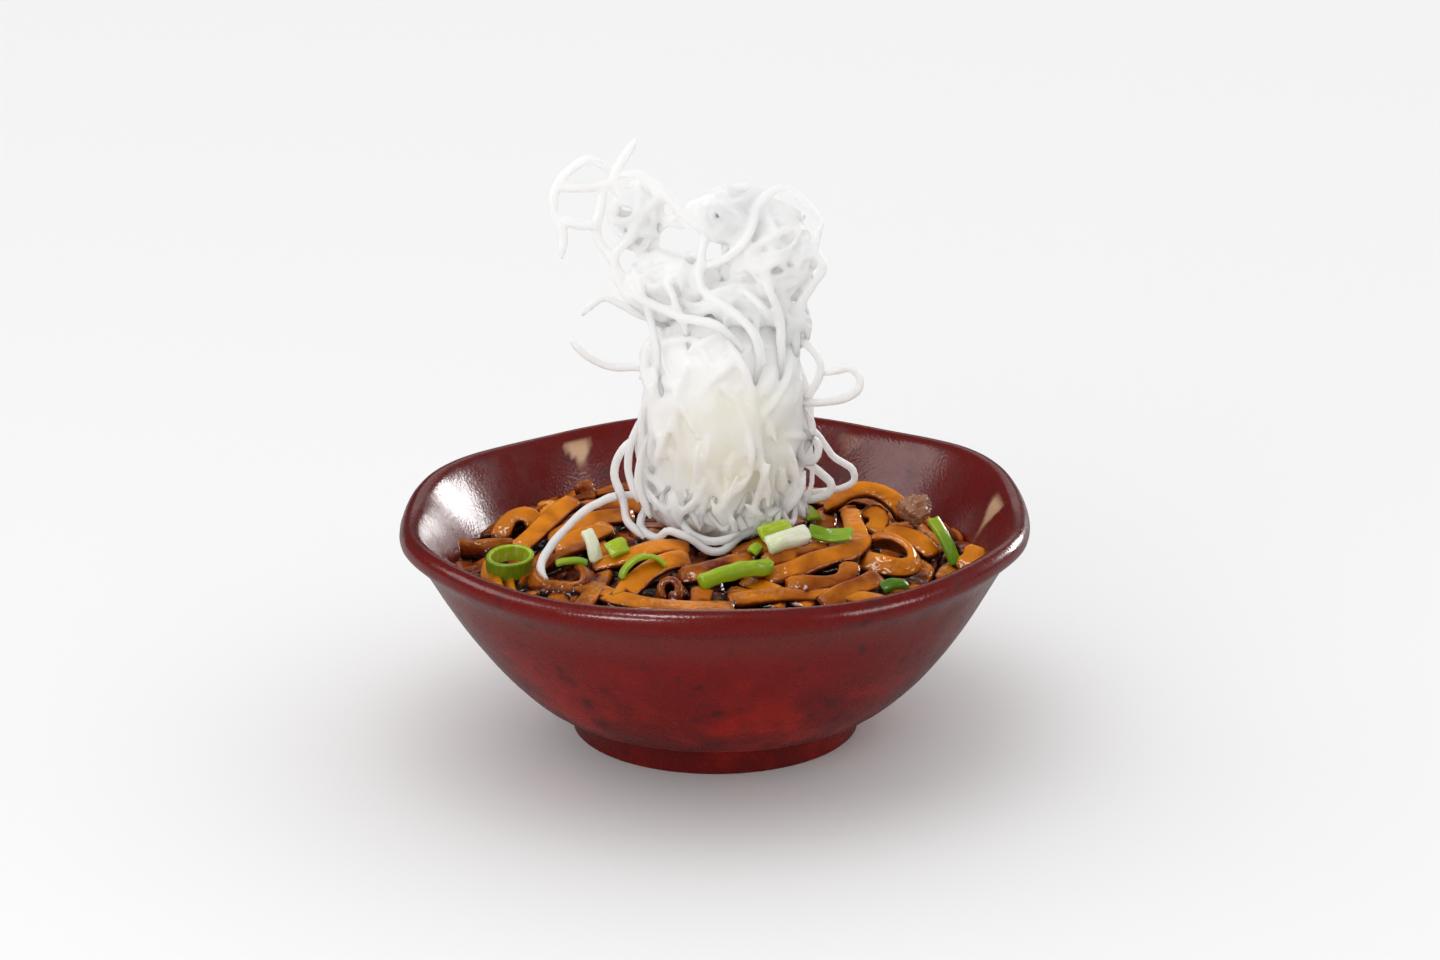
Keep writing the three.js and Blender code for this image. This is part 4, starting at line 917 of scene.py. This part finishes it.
def scallionFlesh(name):
    # Fresh scallion, cut with a knife: smooth, moist skin with fine veins along the leaf. Tone goes
    # from the white of the stalk through lime to the dark green of the leaf's tip.
    material, tree, place = newMaterial(name)
    tone = addNode(tree, "ShaderNodeAttribute", attribute_name="tone")
    along = addNode(tree, "ShaderNodeAttribute", attribute_name="along")
    across = addNode(tree, "ShaderNodeAttribute", attribute_name="across")
    lengthwise = addNode(tree, "ShaderNodeCombineXYZ", {
        "X": along.outputs["Fac"], "Y": across.outputs["Fac"]})
    veinPlace = addNode(tree, "ShaderNodeMapping", {
        "Vector": lengthwise.outputs[0], "Scale": (0.12, 1.8, 1)})
    veins = addNode(tree, "ShaderNodeTexNoise", {"Vector": veinPlace.outputs[0], "Scale": 1, "Detail": 2})
    mottle = addNode(tree, "ShaderNodeTexNoise", {"Vector": place, "Scale": 1 / 2.2, "Detail": 3})
    varied = tone.outputs["Fac"]
    for pattern, amount in ((veins, 0.3), (mottle, 0.2)):
        varied = addNode(tree, "ShaderNodeMath", {0: pattern.outputs["Fac"], 1: amount, 2: varied},
                         operation="MULTIPLY_ADD").outputs[0]
    ramp = addNode(tree, "ShaderNodeValToRGB", {"Fac": varied})
    stops = ramp.color_ramp.elements
    for stop, (spot, code) in zip(list(stops), (scallionTones[0], scallionTones[-1])):
        stop.position, stop.color = spot, colour(code)
    for spot, code in scallionTones[1:-1]:
        stops.new(spot).color = colour(code)
    ribs = addNode(tree, "ShaderNodeBump", {
        "Height": veins.outputs["Fac"], "Distance": 0.00035, "Strength": 0.5})
    shader = addNode(tree, "ShaderNodeBsdfPrincipled", {
        "Base Color": ramp.outputs["Color"], "Roughness": 0.34, "IOR": 1.42, "Subsurface Weight": 0.3,
        "Subsurface Radius": (0.5, 1.0, 0.25), "Subsurface Scale": 0.0012, "Coat Weight": 0.5,
        "Coat Roughness": 0.12, "Normal": ribs.outputs["Normal"]})
    addNode(tree, "ShaderNodeOutputMaterial", {"Surface": shader.outputs[0]})
    return material


scallionTones = [
    (0.22, "#f1f3df"), (0.32, "#dfe9ae"), (0.46, "#b3c81c"), (0.76, "#6a9d17"), (1.1, "#41690c")]
leaf, stalk = scallionFlesh("scallionLeaf"), scallionFlesh("scallionStalk")
for node in scallions:
    white = "white" in node
    makeStrip(node, stalk if white else leaf)
for node in scallionRings:
    makeRing(node, leaf)
print("scallion made")


# Meat: one crumb of browned mince

def makeMeat(material):
    low, high = (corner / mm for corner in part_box("meat_crumb"))
    bm = bmesh.new()
    bmesh.ops.create_icosphere(bm, subdivisions=5, radius=1)
    for vert in bm.verts:
        at = vert.co.copy()
        crags = 0.3 * noise.noise(at * 1.7) + 0.22 * abs(noise.noise(at * 4)) + 0.08 * noise.noise(at * 9)
        vert.co = at * (0.85 + crags)
    bmesh.ops.scale(bm, vec=(high - low) / 2, verts=bm.verts)
    bmesh.ops.translate(bm, vec=(low + high) / 2, verts=bm.verts)
    finishPiece(bm, "meatCrumb", material, ["meat_crumb"])


def brownedMeat():
    # Fried minced pork: a dull, craggy brown crust with a film of sauce that glints on its ridges.
    material, tree, place = newMaterial("friedMincedPork")
    crags = addNode(tree, "ShaderNodeTexNoise", {
        "Vector": place, "Scale": 1 / 1.6, "Detail": 5, "Roughness": 0.65})
    brown = addNode(tree, "ShaderNodeMix", {
        "Factor": crags.outputs["Fac"], "A": colour("#5e2d1c"), "B": colour("#e0a078")}, data_type="RGBA")
    crust = addNode(tree, "ShaderNodeBump", {
        "Height": crags.outputs["Fac"], "Distance": 0.0009, "Strength": 0.8})
    shader = addNode(tree, "ShaderNodeBsdfPrincipled", {
        "Base Color": brown.outputs[2], "Roughness": 0.42, "Coat Weight": 0.5, "Coat Roughness": 0.15,
        "Subsurface Weight": 0.1, "Subsurface Scale": 0.001, "Normal": crust.outputs["Normal"]})
    addNode(tree, "ShaderNodeOutputMaterial", {"Surface": shader.outputs[0]})
    return material


makeMeat(brownedMeat())
print("meat made")


# Nest: puffed strands of fried rice noodle

nest = {
    "x": 2.5,
    "strand": 1.35,
    "stray": 1.2,
    "gap": 0.35,
    "step": 1.5,
    "sides": 9,
    "kink": 0.45,
    "heights": (57.5, 60, 64, 70, 85, 100, 112, 120, 127),
    "radii": (10, 14.5, 20.5, 23.6, 24.5, 24, 21.5, 16, 5),
    "core": (3, 6, 12, 19, 22.2, 22, 19.6, 14, 2),
}
lowerStrands = [
    (-17, 2, 68, -29, -2, 68.5, -38, -10, 66, -45, -24, 62.5, -48, -36, 60, -46, -43, 58.6),
    (-16, 0, 88, -25, -2, 84, -28.6, -1, 76, -26, -3, 68, -25, -9, 64, -20, -17, 61.5),
    (-18, -2, 68, -21, -12, 63, -13, -21, 61, -2, -25, 60.4, 9, -22.5, 61, 18, -14, 64),
    (-12, -14, 70, -6, -23, 64, 4, -24, 63.4, 13, -19, 66, 18, -12, 72),
    (20, 0, 88, 28, 5, 86, 33, 8, 78, 40, 11, 71.5, 37, 10, 67.5, 24, 8, 66),
    (21, 2, 80, 27, 4, 76, 33.5, 5, 69.5, 30, 4, 66.4, 20, 3, 66),
    (-12, -2, 118, -24, -3, 124, -30, -3, 127.5, -34, -4, 126, -37, -4, 122.5),
    (-12, -4, 106, -22, -4, 107.5, -29, -4, 107.5, -35, -5, 110.5, -40.5, -6, 116),
    (14, -6, 98, 28, -4, 97, 36, -3, 98, 41, -3, 102, 38, -2, 106.5, 30, -2, 104.5),
    (14, 0, 118, 25, -3, 114, 29.5, -3, 107, 26, -3, 99, 18, -2, 92),
    (20, -8, 98, 24.5, -4, 95, 27, -2, 90, 25.5, -3, 84, 21.5, -6, 80),
    (22, -6, 92, 26, -3, 87, 29.5, -1, 83, 27, -3, 79, 23.5, -6, 83, 25, -4, 88),
    (-20, -6, 94, -23.5, -5, 86, -24.4, -5, 77, -21.5, -8, 69),
    (-17, -11, 92, -20.5, -10, 84, -21.5, -10, 75, -18, -13, 66),
]
crownStrands = [
    (-28, 0, 162, -33.4, -1, 166, -38, -2, 165, -43.5, -2, 159.5, -44.6, -1, 152, -42, 0, 145, -42.7, 1, 137),
    (-21.5, 2, 171.6, -26.2, 1, 164.5, -28, 0, 160, -24, 0, 154, -17, 1, 150, -8, 2, 146),
    (-30, 0, 160, -31.6, 0, 152, -32.8, 1, 144, -28.5, 0, 137, -26.5, -1, 130, -17, -2, 121, -10, 0, 114),
    (-43, -2, 158.6, -36, -2, 158.6, -28, 0, 159),
    (-43, -1, 150, -38.5, -1, 147.5, -32, 0, 147.5),
    (-28, 0, 161, -21, 1, 161.5, -15, 1, 157, -9, 0, 150.5, -3, -1, 146.5, 0, 0, 151, 4, 1, 157, 12, 2, 158),
    (-14, 2, 156, -20, -1, 150.6, -24, -2, 144, -28, -1, 138, -25, 1, 130),
    (-10, 0, 151, -16, 3, 145, -21, 5, 137, -19, 6, 128, -10, 8, 118),
    (-2, 0, 147, -4.3, -4, 138, -3.4, -7, 131, 3, -11, 127, 10, -15, 121, 14, -17, 112),
    (-4, -3, 136, 3, -7, 140, 9, -8, 146, 12, -4, 154, 18.6, 0, 158, 26, 1, 152, 30, 1, 147.5),
    (30, 1, 148, 27.5, -1, 141, 30, -2, 135.5, 26, -2, 129, 20, -3, 120, 17, -2, 112),
    (-24, -3, 128.5, -17, -7, 126.5, -9, -12, 124, 0, -16, 123, 8, -18, 116),
]
crownLinks = [  # from the column up into the crown; each has its mirror image at the back
    (-14, -14, 100, -16, -11, 112, -18, -7, 122, -21, -4, 131, -23, 2, 136),
    (-7, -18, 100, -6, -16, 112, -9, -11, 122, -12, -7, 130, -14, 1, 134),
    (2, -20, 100, 4, -18, 110, 3, -14, 120, 4, -9, 127, 9, -2, 131),
    (9, -19, 102, 12, -17, 112, 11, -14, 119, 12, -9, 124, 15, -1, 127),
    (16, -14, 100, 18, -12, 112, 18, -9, 122, 15, -9, 131, 12, -4, 138, 13, 2, 143),
    (21, -8, 100, 22, -7, 110, 23, -4, 120, 25, -2, 128, 25, 3, 136),
]
columnStrands = {"seed": 12, "count": 180, "length": (35, 75), "curl": 7, "lean": 0.45}
footLoops = {"count": 20, "from": 76, "to": 60, "radius": 22.0, "spread": (0.25, 0.6)}
crownMasses = [  # middle, half sizes, how many strands lie round it, and whether it has a solid core
    ((15, 2, 139), (12.5, 10, 14), 46, True),
    ((5, 1, 124), (16, 12, 10), 34, True),
    ((-12, 2, 130), (12.5, 7, 9.5), 24, True),
    ((6, 1, 150), (12, 6, 7.5), 30, False),
    ((-21, 2, 148), (8, 4, 10), 12, False),
    ((20, 2, 118), (6, 8, 9), 12, False),
]
crownHoles = [  # x, z and half sizes of the openings that show through the crown from the front
    (-33.1, 163.5, 4.6, 2.8), (-36.2, 153.5, 4.2, 4.6), (-28.7, 153.2, 2.0, 2.3), (-28.6, 142.5, 3.4, 3.2),
    (-10.2, 142.6, 6.2, 5.4), (-5.3, 150.8, 3.8, 2.4), (9.6, 134.2, 4.8, 2.1), (0.6, 128, 2.1, 2.4),
    (6.8, 126.4, 3.0, 2.8), (13.3, 120.5, 2.2, 4.6), (-15.1, 119, 3.6, 1.4), (22.6, 107.5, 2.3, 3.2),
]
crownCurl = {"seed": 21, "curl": 15, "step": 2.5, "length": (30, 60)}


def listed(numbers):
    return [Vector(numbers[i:i + 3]) for i in range(0, len(numbers), 3)]


def onColumn(angle, radius, height):
    return Vector((nest["x"] + radius * math.cos(angle), radius * math.sin(angle), height))


def draped(tree, points):  # lifts a strand's low points clear of the noodles
    path = throughPoints(points, 4)
    reach = 1.5
    offsets = [(i, j) for i in (-reach, 0, reach) for j in (-reach, 0, reach)]
    for point in path:
        top = max(topOf(tree, point.x + i, point.y + j) for i, j in offsets)
        point.z = max(point.z, top + reach + nest["gap"])
    return path


def columnPath(draws):  # wanders over the column's skin, and turns back at its foot and its top
    angle, height = draws.uniform(0, 2 * math.pi), draws.uniform(60, 116)
    heading = draws.choice((math.pi / 2, -math.pi / 2)) + draws.gauss(0, columnStrands["lean"])
    bend = math.radians(columnStrands["curl"]) * draws.choice((-1, 1))
    inset = draws.uniform(0.5, 5.5)
    points, step = [], 2.5
    for k in range(int(draws.uniform(*columnStrands["length"]) / step)):
        skin = float(np.interp(height, nest["heights"], nest["radii"]))
        radius = max(skin - inset - 1.6 * math.sin(k * 0.33 + angle), 4)
        points.append(onColumn(angle, radius, height))
        heading += bend * draws.uniform(-0.4, 1.2)
        if draws.random() < 0.05:
            bend = -bend
        if height < 61.5 and math.sin(heading) < 0 or height > 118 and math.sin(heading) > 0:
            heading += 0.75 * (1 if bend > 0 else -1)
        angle += step * math.cos(heading) / max(radius, 8)
        height = clamp(height + step * math.sin(heading), 59, 124)
    return points


def randomUnit(draws):
    return Vector([draws.gauss(0, 1) for _ in range(3)]).normalized()


def openedUp(point):  # moves a point out of the openings in the crown
    for x, z, wide, tall in crownHoles:
        across, up = (point.x - x) / wide, (point.z - z) / tall
        reach = math.hypot(across, up)
        if reach < 1:
            out = 1 / max(reach, 0.1)
            point = Vector((x + across * out * wide, point.y, z + up * out * tall))
    return point


def shellPath(draws, middle, sizes):  # winds over a rounded mass, as the loose strands do
    here, bend = randomUnit(draws), math.radians(crownCurl["curl"]) * draws.choice((-1, 1))
    heading = here.cross(randomUnit(draws)).normalized()
    phase, points = draws.uniform(0, 6), []
    for k in range(int(draws.uniform(*crownCurl["length"]) / crownCurl["step"])):
        depth = 0.94 + 0.12 * math.sin(phase + 0.45 * k)
        points.append(openedUp(Vector(middle) + here * Vector(sizes) * depth))
        heading = Matrix.Rotation(bend * draws.uniform(-0.5, 1.6), 3, here) @ heading
        here = (here + heading * crownCurl["step"] / (sum(sizes) / 3)).normalized()
        heading = (heading - here * heading.dot(here)).normalized()
    return points


def footLoop(draws, angle):  # hangs from the column's foot over the noodles and goes back up
    wide = draws.uniform(*footLoops["spread"])
    drop = (footLoops["from"] - footLoops["to"]) * draws.uniform(0.5, 1)
    points = []
    for share in (k / 8 for k in range(9)):
        turn = angle + wide * (share - 0.5) + 0.08 * math.sin(9 * share + angle)
        height = footLoops["from"] - drop * math.sin(math.pi * share) ** 0.8
        points.append(onColumn(turn, footLoops["radius"] - 1.5 + 3 * math.sin(math.pi * share), height))
    return points


def carriedNormals(path):  # normals that follow a round strand without twisting
    tangents = directions(path)
    normal = tangents[0].orthogonal().normalized()
    normals = [normal]
    for before, after in zip(tangents, tangents[1:]):
        normal = before.rotation_difference(after) @ normal
        normal = (normal - after * normal.dot(after)).normalized()
        normals.append(normal)
    return normals


def addStrand(bm, points, radius, draws, kink=1.0):
    path = throughPoints(points, nest["step"])
    drift = draws.uniform(0, 90)
    for k, point in enumerate(path):
        path[k] = point + noise.noise_vector(Vector((drift, k * 0.3, 0))) * nest["kink"] * kink
    flat = draws.uniform(0.78, 1)

    def section(share, angle):
        end = 0.45 + 0.55 * smoothStep(min(share, 1 - share), 0, 0.1)
        puff = end * radius * (1 + 0.2 * swells(drift, share * len(path) * 0.2, angle * 0.3))
        return puff * math.cos(angle), puff * flat * math.sin(angle)

    bendTube(bm, path, carriedNormals(path), section, nest["sides"], {})


def nestPiece(bm, name, material):
    return finishPiece(bm, name, material, ["rice_noodle_nest"])


def fused(piece, voxel, passes):  # melts crossing strands into one skin, as puffed noodle sticks together
    remesh = piece.modifiers.new("fuse", "REMESH")
    remesh.mode, remesh.voxel_size = "VOXEL", voxel * mm
    smooth = piece.modifiers.new("soften", "SMOOTH")
    smooth.factor, smooth.iterations = 0.5, passes
    mesh = bpy.data.meshes.new_from_object(piece.evaluated_get(bpy.context.evaluated_depsgraph_get()))
    piece.modifiers.clear()
    piece.data = mesh
    mesh.shade_smooth()
    print(piece.name, "fused to", trianglesOf(mesh))


def makeNestBody(material):
    draws = random.Random(columnStrands["seed"])
    bm = spunFrom([(0, 57.6), *zip(nest["core"], nest["heights"]), (0, 127.5)], 64)
    bmesh.ops.subdivide_edges(bm, edges=bm.edges, cuts=2, use_grid_fill=True)
    for vert in bm.verts:
        x, y, z = vert.co
        swell = 1 + 0.1 * swells(x, y, z * 0.6, 8)
        vert.co = (nest["x"] + x * swell, y * swell, clamp(z, 57.6, 130))
    for _ in range(columnStrands["count"]):
        addStrand(bm, columnPath(draws), nest["strand"] * draws.uniform(0.72, 1.08), draws)
    fused(nestPiece(bm, "friedRiceNoodleBody", material), 0.65, 5)


def makeNestStrays(material):  # the single strands round the column, which lie free of each other
    draws = random.Random(footLoops["count"])
    heapTree = nodeTree("noodles")
    bm = bmesh.new()
    for numbers in lowerStrands:
        addStrand(bm, draped(heapTree, listed(numbers)), nest["stray"], draws, 0.5)
    for i in range(footLoops["count"]):
        path = draped(heapTree, footLoop(draws, 2 * math.pi * i / footLoops["count"]))
        addStrand(bm, path, nest["stray"] * draws.uniform(0.7, 1.0), draws, 0.5)
    nestPiece(bm, "friedRiceNoodleStrays", material)


def makeNestCrown(material):
    draws = random.Random(crownCurl["seed"])
    bm = bmesh.new()
    for middle, sizes, count, solid in crownMasses:
        if solid:
            first = len(bm.verts)
            bmesh.ops.create_icosphere(bm, subdivisions=4, radius=1)
            bm.verts.ensure_lookup_table()
            for vert in bm.verts[first:]:
                lumps = 0.76 + 0.16 * noise.noise(vert.co * 2.2 + Vector(middle))
                vert.co = openedUp(Vector(middle) + vert.co * Vector(sizes) * lumps)
        for _ in range(count):
            addStrand(bm, shellPath(draws, middle, sizes), nest["strand"] * draws.uniform(0.6, 1.0), draws)
    for numbers in crownStrands:
        addStrand(bm, listed(numbers), nest["strand"] * 1.12, draws, 0.8)
    for numbers in crownLinks:
        front = listed(numbers)
        for points in (front, [Vector((p.x, -p.y, p.z)) for p in front]):
            addStrand(bm, points, nest["strand"] * draws.uniform(0.8, 1.1), draws, 0.8)
    fused(nestPiece(bm, "friedRiceNoodleCrown", material), 0.6, 4)


def friedRiceNoodle():
    # Dry rice vermicelli puffed in hot oil: white, matt and a little clear, with a fine blistered skin,
    # and a warmer cream low in the middle, towards the front.
    material, tree, place = newMaterial("puffedRiceVermicelli")
    offset = addNode(tree, "ShaderNodeVectorMath", {0: place, 1: (6, -20, 88)}, operation="DISTANCE")
    warm = addNode(tree, "ShaderNodeMapRange", {
        "Value": offset.outputs["Value"], "From Min": 34, "From Max": 8}, interpolation_type="SMOOTHSTEP")
    clouds = addNode(tree, "ShaderNodeTexNoise", {"Vector": place, "Scale": 1 / 9, "Detail": 3})
    part = addNode(tree, "ShaderNodeMath", {0: warm.outputs[0], 1: clouds.outputs["Fac"]},
                   operation="MULTIPLY")
    cream = addNode(tree, "ShaderNodeMix", {
        "Factor": part.outputs[0], "A": colour("#fcfbf9"), "B": colour("#faf0da")}, data_type="RGBA")
    blisters = addNode(tree, "ShaderNodeTexNoise", {"Vector": place, "Scale": 1 / 0.9, "Detail": 3})
    skin = addNode(tree, "ShaderNodeBump", {
        "Height": blisters.outputs["Fac"], "Distance": 0.00022, "Strength": 0.5})
    shader = addNode(tree, "ShaderNodeBsdfPrincipled", {
        "Base Color": cream.outputs[2], "Roughness": 0.5, "IOR": 1.4, "Subsurface Weight": 0.7,
        "Subsurface Radius": (1.0, 0.96, 0.9), "Subsurface Scale": 0.01, "Normal": skin.outputs["Normal"]})
    addNode(tree, "ShaderNodeOutputMaterial", {"Surface": shader.outputs[0]})
    return material


puffed = friedRiceNoodle()
makeNestBody(puffed)
makeNestStrays(puffed)
makeNestCrown(puffed)
print("nest made")


# Floor, light and camera

studio = {
    "floorRadius": 9.0,
    "floorColour": "#f5f5f5",
    "floorInGloss": ("#424242", "#9c9c9c"),
    "worldColour": "#ffffff",
    "worldInFront": 0.36,
    "worldBehind": 1.32,
    "worldInGloss": 0.03,
    "sunFrom": (-0.2, -0.05, 1.0),
    "sunStrength": 0.4,
    "sunSpread": 50,
    "lookFrom": (0.0013, -1.0, 0.4027),
    "lookDown": 18.25,
    "lens": 93.0,
}
lamps = [  # name, place, width, height and watts; all point at the bowl
    ("window", (0.75, 0.75, 0.32), 0.45, 0.26, 4.6),
    ("overhead", (-0.2, -0.36, 0.92), 0.34, 0.2, 2.2),
    ("frontCard", (-0.55, -0.85, 0.6), 0.6, 0.2, 3.4),
    ("backWindow", (0.1, 1.2, 0.62), 0.8, 0.4, 0.5),
    ("leftCard", (-0.85, 0.05, 0.7), 0.6, 0.4, 1.6),
    ("rightCard", (0.9, -0.4, 0.42), 0.4, 0.4, 1.8),
    ("fill", (-0.55, -1.2, 0.42), 1.2, 0.7, 6.2),
]


def makeFloor():
    bm = bmesh.new()
    bmesh.ops.create_circle(bm, cap_ends=True, segments=96, radius=studio["floorRadius"])
    floor = placed("floor", meshFrom(bm, "floor"))
    # Matt pale card, which a glossy surface shows darker at the front than behind the bowl.
    material, tree, place = newMaterial("paleCard")
    away = addNode(tree, "ShaderNodeSeparateXYZ", {"Vector": place})
    back = addNode(tree, "ShaderNodeMapRange", {"Value": away.outputs["Y"], "From Min": -150, "From Max": 40})
    dim, lit = studio["floorInGloss"]
    inGloss = addNode(tree, "ShaderNodeMix", {
        "Factor": back.outputs[0], "A": colour(dim), "B": colour(lit)}, data_type="RGBA")
    ray = addNode(tree, "ShaderNodeLightPath")
    seen = addNode(tree, "ShaderNodeMix", {
        "Factor": ray.outputs["Is Glossy Ray"], "A": colour(studio["floorColour"]),
        "B": inGloss.outputs[2]}, data_type="RGBA")
    shader = addNode(tree, "ShaderNodeBsdfDiffuse", {"Color": seen.outputs[2]})
    addNode(tree, "ShaderNodeOutputMaterial", {"Surface": shader.outputs[0]})
    floor.data.materials.append(material)


def makeSun():
    light = bpy.data.lights.new("sky", "SUN")
    light.energy, light.angle = studio["sunStrength"], math.radians(studio["sunSpread"])
    sun = placed("sky", light)
    sun.rotation_euler = (-Vector(studio["sunFrom"])).to_track_quat("-Z", "Y").to_euler()
    sun.visible_glossy = False


def makeLamp(name, place, width, height, watts):
    light = bpy.data.lights.new(name, "AREA")
    light.shape, light.size, light.size_y, light.energy = "RECTANGLE", width, height, watts
    lamp = placed(name, light)
    lamp.location = place
    lamp.rotation_euler = (Vector((0, 0, 0.08)) - Vector(place)).to_track_quat("-Z", "Y").to_euler()
    lamp.visible_glossy = name != "fill"  # the fill lights surfaces, and the others are only seen in them
    lamp.visible_diffuse = name == "fill"
    if name == "fill":  # the noodles keep the deep shade between them
        lit = bpy.data.collections.new("litFromFront")
        for piece in bpy.context.scene.objects:
            if piece.name.startswith(("glazedBowl", "friedRice", "scallion", "meat", "floor")):
                lit.objects.link(piece)
        lamp.light_linking.receiver_collection = lit


def makeCamera():
    lens = bpy.data.cameras.new("camera")
    lens.lens, lens.sensor_width = studio["lens"], 36
    camera = placed("camera", lens)
    camera.location = studio["lookFrom"]
    camera.rotation_euler = (math.radians(90 - studio["lookDown"]), 0, 0)
    bpy.context.scene.camera = camera


def makeWorld():
    world = bpy.data.worlds.new("studio")
    world.use_nodes = True
    tree = world.node_tree
    way = addNode(tree, "ShaderNodeTexCoord")
    side = addNode(tree, "ShaderNodeSeparateXYZ", {"Vector": way.outputs["Generated"]})
    turn = addNode(tree, "ShaderNodeMapRange", {
        "Value": side.outputs["Y"], "From Min": -1, "To Min": studio["worldInFront"],
        "To Max": studio["worldBehind"]})
    ray = addNode(tree, "ShaderNodeLightPath")
    level = addNode(tree, "ShaderNodeMapRange", {
        "Value": ray.outputs["Is Glossy Ray"], "To Min": turn.outputs[0], "To Max": studio["worldInGloss"]})
    sky = tree.nodes["Background"]
    sky.inputs["Color"].default_value = colour(studio["worldColour"])
    tree.links.new(level.outputs[0], sky.inputs["Strength"])
    bpy.context.scene.world = world


makeFloor()
makeSun()
for lamp in lamps:
    makeLamp(*lamp)
makeCamera()
makeWorld()
bpy.context.scene.view_settings.view_transform = "Standard"
print("studio set")
